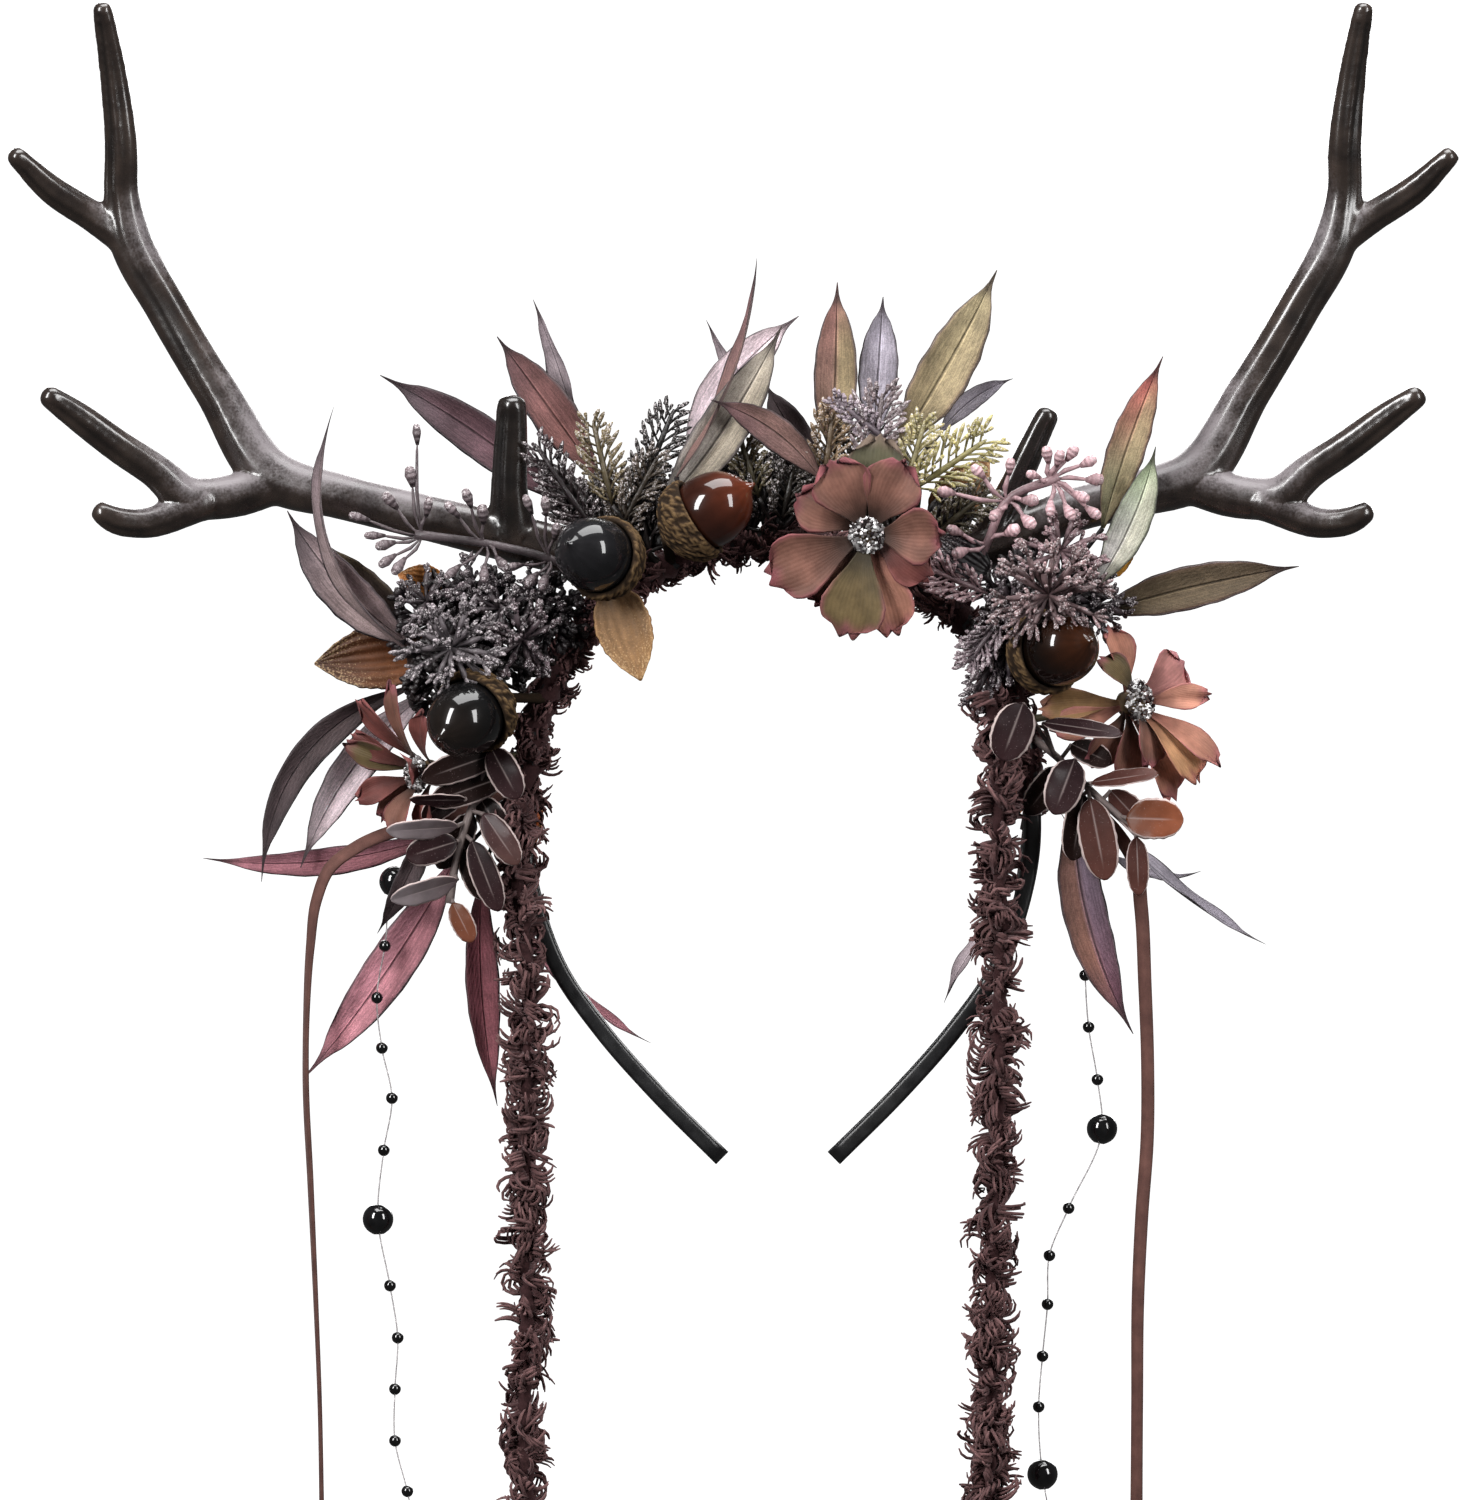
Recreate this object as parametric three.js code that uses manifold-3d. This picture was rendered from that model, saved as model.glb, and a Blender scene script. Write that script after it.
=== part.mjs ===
// Antler crown: a hair hoop wound with chenille yarn, which carries two plastic antlers, cloth flowers,
// acorns, willow leaves, sprigs and husks, with yarn ends, laces and bead strings hanging at both sides.
// Millimetres, +Z up, the front is -Y. The origin is where the wound band sits on the crown of the head.
import * as THREE from "three";
import { mergeVertices } from "three/addons/utils/BufferGeometryUtils.js";
import Module from "manifold-3d";

const wasm = await Module();
wasm.setup();

// Every row of a table becomes an object with the table's column names.
const table = (columns, rows) =>
  rows.map((row) => Object.fromEntries(columns.split(" ").map((column, i) => [column, row[i]])));

const GAP = 0.3;

// The hoop: a flat band, bent to half a horseshoe on each side of the middle.
const HOOP = { width: 9, thickness: 4.6, chamfer: 0.8, steps: 18, endTaper: 0.6 };
const HOOP_HALF = table("out up", [
  [26, 0], [47, -14], [60, -34], [65.5, -58], [66, -74], [63, -90], [57, -106], [46, -122], [32, -138],
  [14.5, -155.5],
]);
const HOOP_TOP = 5;

// The yarn wound on the upper arch, with a bulge for each few turns.
const WRAP = { depth: 7, height: 5.2, dip: 0.88, lowest: -68, steps: 32, sides: 8 };

// The antlers mirror each other about a plane a little to the left of the hoop's middle.
const PAIR_MIDDLE = -11.7;
const ANTLER = { sides: 6, nose: 0.4 };
const LIMBS = {
  main: table("out y z radius", [
    [119.6, 5, 21.8, 6.4], [134.7, 8, 44.2, 5.5], [147.7, 10, 65.8, 5.3], [157.6, 10, 84.6, 5.3],
    [159.6, 9, 96.2, 4.4], [159.4, 6, 106.6, 4.2], [161.2, 2, 126.1, 3.4], [163.8, -4, 143.6, 2.4],
  ]),
  outerTine: table("out y z radius", [
    [155.5, 10, 82, 4.6], [166.7, 10, 89.7, 4], [177.6, 8, 96.7, 3.7], [187.2, 4, 105.8, 2.4],
  ]),
  lower: table("out y z radius", [
    [118, 5, 21, 5.6], [130.8, 3, 16.6, 5.4], [141.6, 0, 16.4, 5.1], [150, -3, 23.2, 4.4],
    [158.4, -5, 28.8, 4.2], [169.8, -9, 37.2, 3.7], [177.6, -12, 42.6, 2.7],
  ]),
  shortTine: table("out y z radius", [
    [138, 0, 15, 4.6], [154.2, -3, 9.4, 3.7], [160.7, -5, 10.4, 3.4], [164.8, -6, 12.8, 2.5],
  ]),
};
const BEAMS = {
  left: table("x y z radius", [
    [-37, -1, -2.5, 6], [-54, 0, 2, 6], [-69.7, 0, 5.8, 6.2], [-85.3, 0, 9.6, 5.8], [-98.3, 1, 12.7, 5.6],
    [-114, 2, 16.6, 5.6],
  ]),
  right: table("x y z radius", [
    [37, -1, -2.5, 6], [49, 0, 1.5, 6], [57.7, 0, 5, 6], [73.3, 1, 11.8, 5.6], [90.5, 2, 16.6, 5.6],
  ]),
};
const FRONT_TINES = {
  left: table("x y z radius", [
    [-68.8, 0, 5, 6.6], [-69.8, -4, 17, 4.7], [-69.4, -6, 30, 4.2], [-69, -8, 41, 3.6],
  ]),
  right: table("x y z radius", [
    [55, 0, 4, 6], [60.5, -2, 17, 4], [65.5, -3, 28, 3.4], [70.2, -4, 38.2, 2.8],
  ]),
};

// Leaf outlines: the share of the full width at each share of the length.
const OUTLINES = {
  willow: table("along width", [[0.12, 0.46], [0.42, 1], [0.8, 0.46]]),
  petal: table("along width", [[0.14, 0.3], [0.68, 1], [0.96, 0.66]]),
  oval: table("along width", [[0.25, 0.9], [0.75, 0.9]]),
  husk: table("along width", [[0.08, 0.6], [0.4, 1], [0.82, 0.5]]),
  fern: table("along width", [[0.04, 0.15], [0.28, 1], [0.36, 0.25], [0.66, 0.75], [0.74, 0.15]]),
};
const CLOTH = 1.4;
const FOLD = { leaf: 0.25, petal: 0.12, oval: 0.15 };
const STEM = { radius: 1.2, sides: 4, stalk: 0.6, fork: 0.36, firstStalk: 0.6 };

// Willow leaves: bow is the middle's sideways bend, lift its bend towards the front, roll turns the face.
const SPRAYS = table("name rootX rootY rootZ colour", [
  ["willow_top_left", -40, 5, -6, 0x5a3844],
  ["willow_far_left", -59, -4, -30, 0x75666a],
  ["willow_low_left", -65, 2, -52, 0x5c4750],
  ["willow_hanging_left", -65, -1, -58, 0x7a4a56],
  ["willow_back_left", -65.5, 5, -59, 0x5c3f4c],
  ["willow_top_middle", -24, 3, 3, 0x83766f],
  ["willow_cross", 8, 2, 4, 0x6b4f50],
  ["willow_top_right", 22, 3, 2, 0x776a52],
  ["willow_right", 57, -4, -26, 0x6f6a50],
  ["willow_right_side", 59, 0, -32, 0x5d4a3c],
  ["willow_low_right", 65, 0, -56, 0x6a4a4e],
  ["willow_back_right", 65.5, 5, -59, 0x5c3f4c],
]);
const LEAVES = table("spray x y z tipX tipY tipZ bow lift width roll", [
  ["willow_top_left", -56, 9, 15, -104, 14, 48.6, 2, 0, 12, 8],
  ["willow_top_left", -47, 8, 22, -73.3, 9, 58.5, 0, 0, 12, -5],
  ["willow_top_left", -50, 12, 26, -64, 16, 68.5, 1, 0, 8, 50],
  ["willow_far_left", -95, -9, -24, -114.7, -20, 39, -12, 3, 7, 62],
  ["willow_far_left", -95, -6, -22, -127, -13, 12.5, -3, 1, 12.5, 10],
  ["willow_far_left", -93, -1, -21, -118, -4, 5, -1, 0, 10, 0],
  ["willow_low_left", -95, -3, -33, -133.6, -14, -83.5, 11, 1, 8.5, 15],
  ["willow_low_left", -91, 3, -34, -124, -3, -80, 4, 0, 10.5, 0],
  ["willow_low_left", -87, 4, -71, -149.5, 0, -77.5, -4, 0, 7.5, 10],
  ["willow_hanging_left", -84, 0, -78, -123, -3, -134.5, -2, 0, 12.5, 0],
  ["willow_hanging_left", -90, -3, -68, -104, -5, -97, -1, 0, 6, 20],
  ["willow_hanging_left", -77, 1, -82, -73, 1, -142, 2, 0, 9, 10],
  ["willow_back_left", -70, 9, -92, -33, 11, -126, 4, 0, 6, 60],
  ["willow_top_middle", -26.3, -15, 21, -5.5, -9, 78, 4.5, 0, 7, 70],
  ["willow_top_middle", -24, 8, 28, 5.5, 13, 64, -3, 0, 12, 0],
  ["willow_top_middle", -31, -12, 12, 1, -10, 60.5, 2, 0, 13, 0],
  ["willow_top_middle", -4, 10, 34, -18.7, 13, 63, 0, 0, 5, 40],
  ["willow_cross", 11, -10, 21, -17.5, -17.5, 41, 3, 0, 9, 10],
  ["willow_cross", 11, 3, 24, -3, 6, 46, -1, 0, 9, 0],
  ["willow_top_right", 14.5, 2, 26, 15.5, 6, 72.5, 0, 0, 11.5, 0],
  ["willow_top_right", 25, 7, 32, 27.5, 11, 69, 0, 0, 10.5, 0],
  ["willow_top_right", 30, 0, 28, 57, 3, 75.5, 1, 0, 14, -5],
  ["willow_top_right", 42, 5, 33, 61.4, 8, 47.5, -2, 0, 5.5, 0],
  ["willow_right", 84, -10, 8, 99.6, -11, 52.5, -1, 0, 10, 0],
  ["willow_right", 82, -13, -7, 97.5, -16, 29, 2, 0, 10, 0],
  ["willow_right_side", 82, -4, -14, 135, -8, -1.8, -1, 0, 11.5, 0],
  ["willow_low_right", 77, -1, -63, 92, -9, -123, 4, 0, 12, -10],
  ["willow_low_right", 86, 3, -68, 127, 1, -100, 3, 0, 7, 65],
  ["willow_low_right", 86, 8, -76, 110.5, 10, -81, 4, 0, 5, 60],
  ["willow_back_right", 62, 10, -90, 43.4, 11, -115.5, 2, 0, 6, 60],
]);

const HUSKS = table("name x y z tipX tipY tipZ width rootX rootY rootZ colour", [
  ["husk_far_left", -91, 3, -24, -120.5, 0, -27, 17, -62, 3, -36, 0x7d4f30],
  ["husk_front", -43, -9, -8, -35.5, -13, -31.5, 15, -44, -4, -11, 0xa87f55],
  ["husk_low_left", -66, 10, -56, -65, 11, -77, 9, -64, 5, -52, 0xa0522a],
  ["husk_low_right", 64, 9.5, -50, 62, 11, -67, 9, 63, 5, -46, 0xa0522a],
  ["husk_top_right", 41, 4, 10, 55, 3, 26, 13, 37, 3, -3, 0x8a6141],
  ["husk_top_left", -87, -7, -7, -98.5, -9, -4, 9, -58, -3, -30, 0xa5683a],
  ["husk_right", 87, -4, -4, 92.5, -6, 9, 6, 60, -3, -33, 0xc58a3c],
]);

const HUSK = { lift: 1.5, fold: 0.45, wall: 1.8 };

// Cloth flowers: the centre, the way it faces, and where its stem meets the band.
const FLOWERS = table("name x y z faceX faceY faceZ rootX rootY rootZ", [
  ["flower_front", 22.9, -25, 6, -0.08, -1, -0.12, 23, -4, 2],
  ["flower_left", -93, -12, -55.5, -0.8, -0.58, -0.1, -64, -4, -50],
  ["flower_right", 93, -10, -37, 0.9, -0.42, 0.12, 62, -4, -42],
]);
// Petals by the turn from the flower's own right, the length, the width and the lean towards its face.
const PETALS = table("flower whorl turn length width lean", [
  ["flower_front", "back", 90, 22, 14, 4],
  ["flower_front", "back", 150, 21, 14, 6],
  ["flower_front", "back", 232, 23, 13, 4],
  ["flower_front", "back", 284, 24, 13, 6],
  ["flower_front", "back", 325, 20, 11, 12],
  ["flower_front", "front", 115, 22, 16, 9],
  ["flower_front", "front", 62, 22, 16, 10],
  ["flower_front", "front", 0, 20, 15, 12],
  ["flower_front", "front", 259, 25, 16, 7],
  ["flower_front", "front", 203, 26, 16, 8],
  ["flower_left", "back", 60, 20, 8, 22],
  ["flower_left", "back", 110, 27, 7, 35],
  ["flower_left", "back", 150, 23.5, 8, 42],
  ["flower_left", "back", 228, 18, 9, 34],
  ["flower_left", "back", 290, 16, 10, 20],
  ["flower_left", "front", 88, 26, 6, 18],
  ["flower_left", "front", 140, 21, 7, 30],
  ["flower_left", "front", 205, 18, 7, 45],
  ["flower_left", "front", 262, 17, 11, 28],
  ["flower_left", "front", 20, 12, 10, 44],
  ["flower_right", "back", 98, 20, 11, -5],
  ["flower_right", "back", 175, 23, 8, -50],
  ["flower_right", "back", 200, 21, 8, -50],
  ["flower_right", "back", 255, 20, 12, -2],
  ["flower_right", "back", 285, 28, 13, 14],
  ["flower_right", "front", 40, 14, 15, 40],
  ["flower_right", "front", 0, 19, 7, 55],
  ["flower_right", "front", 305, 27, 7, 30],
  ["flower_right", "front", 295, 26, 13, 22],
  ["flower_right", "front", 130, 16, 9, -10],
]);
const FLOWER = { hub: 3.6, hubDepth: 2, hubSides: 6, petalStart: 2.7, whorlStep: 3.2, curl: 1.5 };
const FLOWER_CENTRE = { height: 3, lift: 1.9, sides: 8 };
const CENTRE_PROFILE = table("along radius", [[0.6, 4.2], [2.55, 2.7]]);

// Acorns: the nut's middle, the way its tip points, and where its stem meets the band.
const ACORNS = table("name x y z tipX tipY tipZ rootX rootY rootZ colour", [
  ["acorn_black", -47, -23, 0.8, -0.5, -0.82, 0.2, -40, -4, -8, 0x0d0c0d],
  ["acorn_chestnut", -18.2, -20, 12, 0.83, -0.25, 0.5, -28, -4, 0, 0x35130c],
  ["acorn_left", -80, -25, -41, -0.6, -0.6, -0.5, -61, -4, -36, 0x0d0c0d],
  ["acorn_right", 71.8, -22, -23.5, 0.6, -0.75, 0.15, 58, -4, -30, 0x1e100b],
]);
const NUT = table("along radius", [[-7, 6.4], [-1, 9.5], [5, 8.9], [9.8, 6], [12.6, 1.8]]);
const NUT_ENDS = { base: -9.5, tip: 14.8 };
const CAP = table("along radius", [[-12.2, 5.5], [-7.6, 10.6], [-1.6, 11.3]]);
const CAP_ENDS = { base: -13.6, rim: -1.2 };
const ACORN = { sides: 8, stem: 1.4, stemDepth: 1 };

// Sprigs of small oval leaves on one stem.
const BOXWOOD = {
  boxwood_left: {
    stem: [[-68, 0, -55], [-76.5, -6, -59], [-79.5, -15, -65], [-83, -16, -77], [-85, -15.5, -89]],
    leaves: table("footX footY footZ x y z tipX tipY tipZ width roll", [
      [-79, -13.5, -64, -74, -19, -49, -67, -22, -62, 8.5, 0],
      [-79.5, -15, -65, -76, -18, -66, -67, -22, -79, 7.5, 0],
      [-79, -14, -64, -81, -18, -62, -95, -22, -62, 5, 50],
      [-80.5, -15.2, -68, -83, -19, -69, -101, -24, -70, 7, 40],
      [-81.5, -15.5, -72, -83, -18, -73, -96, -19, -77, 8, 0],
      [-83.6, -15.8, -81, -83, -17, -83, -100, -19, -88, 8, 40],
      [-81.2, -15.5, -71, -79, -18, -73, -72, -20, -91, 7.5, 0],
      [-84.6, -15.6, -87, -84, -16.5, -89, -79, -18, -99, 6, 0],
    ]),
  },
  boxwood_right: {
    stem: [[66, -2, -46], [72, -9, -51], [82, -14, -61], [93, -15, -71]],
    leaves: table("footX footY footZ x y z tipX tipY tipZ width roll", [
      [72, -9, -51, 63, -20.5, -37.5, 57.5, -22.5, -52, 11, 0],
      [71.5, -8.6, -50.6, 68.5, -18, -42.5, 88.5, -25, -45.5, 6, 40],
      [76, -11, -55, 76.5, -15, -52, 71, -20, -66, 10, 0],
      [79, -12.5, -58, 81, -17, -58, 98, -21, -55.5, 6, 45],
      [80, -13, -59, 80.5, -16, -62, 84.5, -19, -83, 10, 0],
      [88, -14.5, -66.4, 90, -17, -67, 104.5, -20, -67.5, 11, 10],
      [92, -15, -70.2, 92.5, -16, -72, 93, -18, -87, 6, 0],
    ]),
  },
};

// Umbels: fingers spread from a hub over a cap that faces the given way.
const UMBELS = table("name x y z faceX faceY faceZ reach fingers rootX rootY rootZ colour", [
  ["umbel_left", -84, -16, -19, -0.25, -1, 0.15, 14, 10, -59, -4, -30, 0x6b5c60],
  ["umbel_left_inner", -66, -14, -18, 0.1, -1, -0.1, 11, 7, -57, -4, -28, 0x6b5c60],
  ["umbel_right", 70, -18, -6, 0.1, -1, -0.25, 18, 12, 58, -4, -28, 0x77666a],
]);
const UMBEL = { spread: 1.35, stemSides: 5, stemDepth: 1 };
const FINGER = { radius: 1.3, sides: 3, thickest: 0.65 };

// Bud sprays: a stem through nodes, each bud on a stalk of its own.
const BUD_SPRAYS = {
  buds_left: {
    colour: 0x675a60,
    stem: [[-45, -5, -7], [-59, -12, 0], [-75.7, -13, 4], [-94, -14, 6.3]],
    buds: table("x y z tipX tipY tipZ", [
      [-92, -14, 6, -100, -16, 14.5], [-92, -14, 6, -111, -15, 11.5], [-92, -14, 6, -102, -18, 3],
      [-92, -14, 6, -99, -19, -3], [-92, -14, 6, -93.6, -14, 35],
      [-75.7, -13, 4, -84, -17, 14], [-75.7, -13, 4, -80, -19, 15.5],
      [-75.7, -13, 4, -70, -19, -3], [-59, -12, 0, -64, -17, 14.5], [-59, -12, 0, -57, -20, 12],
    ]),
  },
  buds_right: {
    colour: 0x8a6f74,
    stem: [[46, -5, -12], [54, -14, 4], [59, -17, 15], [72.5, -18, 21]],
    buds: table("x y z tipX tipY tipZ", [
      [59, -17, 15, 60, -20, 26], [59, -17, 15, 41, -18, 17.5], [54, -14, 4, 43.5, -18, 8],
      [70.5, -18, 20, 69, -20, 29], [70.5, -18, 20, 77, -20, 29], [70.5, -18, 20, 82, -20, 26],
      [70.5, -18, 20, 84, -19, 20.5], [70.5, -18, 20, 80, -22, 12],
    ]),
  },
};

// Fern sprigs: fronds with a finger on each side at every step.
const FERNS = table("name rootX rootY rootZ colour", [
  ["fern_left", -31, -4, -1, 0x6f6356],
  ["fern_middle", 0, -4, 5, 0x6a6138],
  ["fern_right", 30, -3, 0, 0x80803f],
  ["fern_low_right", 55, -4, -22, 0x6b565c],
]);
const FRONDS = table("fern x y z tipX tipY tipZ width", [
  ["fern_left", -50, -9, 12, -63, -10, 31, 17],
  ["fern_left", -43, -8, 16, -47, -9, 36, 14],
  ["fern_left", -36, -7, 20, -28, -8, 38, 15],
  ["fern_middle", -5, -7, 18, -11, -9, 35, 13],
  ["fern_middle", 12, -10, 22, 14, -11, 38, 14],
  ["fern_right", 24, -10, 24, 27, -11, 43, 17],
  ["fern_right", 37, -9, 20, 54, -10, 31, 17],
  ["fern_low_right", 54, -14, -10, 38, -15, -1, 13],
  ["fern_low_right", 57, -15, -16, 49, -16, -27, 13],
]);

// The hanging pieces: lines of points from the band down.
const YARN = { radius: 6.2, sides: 8, steps: 9 };
const YARN_LINES = {
  yarn_strand_left: [
    [-66.5, -11.8, -62.8], [-68, -12, -76], [-66, -12.5, -96], [-64.6, -12, -115], [-65, -12, -135],
    [-65.3, -12, -156], [-65, -12, -178], [-65, -12, -198], [-65.8, -12, -218], [-65.5, -12, -234],
    [-64, -12, -250],
  ],
  yarn_strand_right: [
    [54.5, -11.2, -34], [56.5, -12.8, -46], [57, -14, -62], [57, -13, -80], [57.6, -12.5, -99], [57.2, -12, -117],
    [57, -12, -135], [56.7, -12, -153], [55.6, -12, -172], [55.6, -12, -190], [55, -12, -208],
    [54.6, -12, -226], [55.4, -12, -250],
  ],
};
const LACE = { width: 3.8, thickness: 1.3, steps: 11 };
const LACES = {
  lace_left: {
    turn: 65,
    line: [
      [-71.2, -5, -60], [-80, -6.5, -65], [-90, -8, -68.5], [-99.6, -10, -70.5], [-109, -12, -74.5],
      [-116, -13, -80], [-119.5, -13, -88.5], [-121, -13, -100], [-122, -13, -117], [-122.2, -13, -135],
      [-121, -13, -161], [-119.6, -13, -192], [-118.6, -13, -218], [-118, -13, -250],
    ],
  },
  lace_right: {
    turn: 0,
    line: [
      [69.4, -4.6, -57.4], [79, -7, -63], [87, -8.5, -70], [92.5, -9, -79], [94, -9, -90], [95, -9, -110],
      [95.7, -9, -130], [95.6, -9, -150], [94.2, -9, -170], [93.2, -9, -192], [93, -9, -218],
      [92.8, -9, -250],
    ],
  },
};
const THREAD = { radius: 0.45, sides: 5 };
const BIG_BEAD = 4;
const SMALL_BEAD = 1.55;
const BEAD_STRINGS = {
  bead_string_left: table("x y z bead", [
    [-71.3, -1, -62, 0], [-82, -4, -70, 0], [-92, -6.5, -75, 0], [-99.4, -8, -83.5, BIG_BEAD],
    [-101.9, -8, -100.2, SMALL_BEAD], [-104, -8, -113.6, SMALL_BEAD], [-102.7, -8, -126.6, SMALL_BEAD],
    [-100.1, -8, -139.6, SMALL_BEAD], [-102.2, -8, -153.1, SMALL_BEAD], [-103.7, -8, -171, BIG_BEAD],
    [-100.6, -8, -188.2, SMALL_BEAD], [-98.6, -8, -201.7, SMALL_BEAD], [-99.3, -8, -215, SMALL_BEAD],
    [-99.3, -8, -228.4, SMALL_BEAD], [-96.1, -8, -241.5, SMALL_BEAD], [-94.4, -8, -250, 0],
  ]),
  bead_string_right: table("x y z bead", [
    [71.3, 3, -62, 0], [76, 4, -70, 0], [79.3, 4, -81, SMALL_BEAD], [79.6, 4, -94.5, SMALL_BEAD],
    [80, 4, -108, SMALL_BEAD], [80.9, 4, -121.5, SMALL_BEAD], [83.2, 4, -135.2, SMALL_BEAD],
    [84.4, 4, -148, BIG_BEAD], [75.7, 4, -168.7, SMALL_BEAD], [70.7, 4, -181, SMALL_BEAD],
    [70.2, 4, -193.7, SMALL_BEAD], [68.9, 4, -207.2, SMALL_BEAD], [67.9, 4, -220.4, SMALL_BEAD],
    [68.9, 4, -238, BIG_BEAD], [71, 4, -250, 0],
  ]),
};
// A bead's profile: how far from its middle, in radii, and how wide there.
const BEAD_PROFILE = table("along radius", [[-0.96, 0], [-0.5, 0.9], [0.5, 0.9], [0.96, 0]]);

// The pieces' colours that no table above gives, and how rough each kind is.
const COLOUR = {
  hoop: 0x141414, yarn: 0x43292d, antler: 0x1d1917, lace: 0x6b4a42, bead: 0x0c0c0c, cap: 0x6b4a30,
  backPetal: 0x8c6350, frontPetal: 0x9a6a5c, flowerCentre: 0xb6a3a0, boxwood: 0x3a2226,
};
const ROUGHNESS = {
  hoop: 0.35, yarn: 0.95, antler: 0.3, lace: 0.8, bead: 0.15, nut: 0.15,
  boxwood: 0.35, cloth: 0.85, other: 0.7,
};

const FRONT = new THREE.Vector3(0, -1, 0);
const UP = new THREE.Vector3(0, 0, 1);
const vec = (x, y, z) => new THREE.Vector3(x, y, z);
const at = (row) => vec(row.x, row.y, row.z);
const tipOf = (row) => vec(row.tipX, row.tipY, row.tipZ);
const rootOf = (row) => vec(row.rootX, row.rootY, row.rootZ);
const faceOf = (row) => vec(row.faceX, row.faceY, row.faceZ).normalize();
const radians = THREE.MathUtils.degToRad;

const middle = (ring) => ring.reduce((sum, point) => sum.add(point), vec(0, 0, 0)).divideScalar(ring.length);

// A closed skin over rings with as many points each, which run to the left round the way of travel.
function loft(rings, first = middle(rings[0]), last = middle(rings.at(-1))) {
  const sides = rings[0].length;
  const points = [first, ...rings.flat(), last];
  const index = [];
  const corner = (ring, side) => 1 + ring * sides + (side % sides);
  for (let side = 0; side < sides; side++) {
    index.push(0, corner(0, side + 1), corner(0, side));
    for (let ring = 0; ring + 1 < rings.length; ring++) {
      index.push(corner(ring, side), corner(ring, side + 1), corner(ring + 1, side));
      index.push(corner(ring, side + 1), corner(ring + 1, side + 1), corner(ring + 1, side));
    }
    index.push(points.length - 1, corner(rings.length - 1, side), corner(rings.length - 1, side + 1));
  }
  return new THREE.BufferGeometry().setFromPoints(points).setIndex(index);
}

const circle = (radius, sides, squash = 1) =>
  Array.from({ length: sides }, (_, i) => {
    const angle = (2 * Math.PI * i) / sides;
    return [radius * Math.cos(angle), radius * squash * Math.sin(angle)];
  });

// A solid along a line of centres, with the section of each one square to the line.
function sweep(centres, sectionAt, nose = 0) {
  const whole = centres.at(-1).clone().sub(centres[0]).normalize();
  const reference = Math.abs(whole.y) > 0.8 ? UP : vec(0, 1, 0);
  const wayAt = (i) => {
    const before = centres[Math.max(i - 1, 0)];
    const after = centres[Math.min(i + 1, centres.length - 1)];
    return after.clone().sub(before).normalize();
  };
  const rings = centres.map((centre, i) => {
    const way = wayAt(i);
    const u = reference.clone().cross(way).normalize();
    const v = way.clone().cross(u);
    return sectionAt(i).map(([a, b]) => centre.clone().addScaledVector(u, a).addScaledVector(v, b));
  });
  const first = centres[0].clone().addScaledVector(wayAt(0), -nose);
  const last = centres.at(-1).clone().addScaledVector(wayAt(centres.length - 1), nose);
  return loft(rings, first, last);
}

const limb = (rows) =>
  sweep(rows.map(at), (i) => circle(rows[i].radius, ANTLER.sides), rows.at(-1).radius * ANTLER.nose);

const stem = (from, to, radius = STEM.radius, sides = STEM.sides) =>
  sweep([from, to], () => circle(radius, sides));

// A spindle from one point to another, thickest part of the way along.
function finger(from, to) {
  const way = to.clone().sub(from).normalize();
  const u = (Math.abs(way.y) > 0.8 ? UP : vec(0, 1, 0)).clone().cross(way).normalize();
  const v = way.clone().cross(u);
  const centre = from.clone().lerp(to, FINGER.thickest);
  const ring = circle(FINGER.radius, FINGER.sides)
    .map(([a, b]) => centre.clone().addScaledVector(u, a).addScaledVector(v, b));
  return loft([ring], from, to);
}

// A thin leaf or petal from its base to its tip: a bent middle line with a folded sheet on both sides.
// With a foot, the sheet goes on below its base as a round stalk to that point.
function blade({
  base, tip, foot, width, outline, bow = 0, lift = 0, roll = 0, fold = FOLD.leaf, wall = CLOTH, face = FRONT,
}) {
  const chord = tip.clone().sub(base).normalize();
  const across = chord.clone().cross(face).normalize();
  const towards = across.clone().cross(chord);
  const bend = base.clone().lerp(tip, 0.5)
    .addScaledVector(across, 2 * bow).addScaledVector(towards, 2 * lift);
  const line = new THREE.QuadraticBezierCurve3(base, bend, tip);
  const frameAt = (way) => {
    const side = way.clone().cross(face).normalize().applyAxisAngle(way, -radians(roll));
    return { side, normal: side.clone().cross(way) };
  };
  const section = (centre, { side, normal }, half, edge, skin) =>
    [[half, edge], [0, -skin], [-half, edge], [0, skin]].map(([s, n]) =>
      centre.clone().addScaledVector(side, s).addScaledVector(normal, n));
  const rings = OUTLINES[outline].map((row) => {
    const half = (width * row.width) / 2;
    const frame = frameAt(line.getTangent(row.along));
    return section(line.getPoint(row.along), frame, half, fold * half, wall / 2);
  });
  if (!foot) return loft(rings, base, tip);
  const leafWay = line.getTangent(0);
  const stalkWay = base.clone().sub(foot).normalize();
  const stalkRing = (centre, way) => {
    const turn = new THREE.Quaternion().setFromUnitVectors(leafWay, way);
    const { side, normal } = frameAt(leafWay);
    const frame = { side: side.applyQuaternion(turn), normal: normal.applyQuaternion(turn) };
    return section(centre, frame, STEM.stalk, 0, STEM.stalk);
  };
  const bisector = leafWay.clone().add(stalkWay).normalize();
  return loft([stalkRing(foot, stalkWay), stalkRing(base, bisector), ...rings], foot, tip);
}

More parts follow.
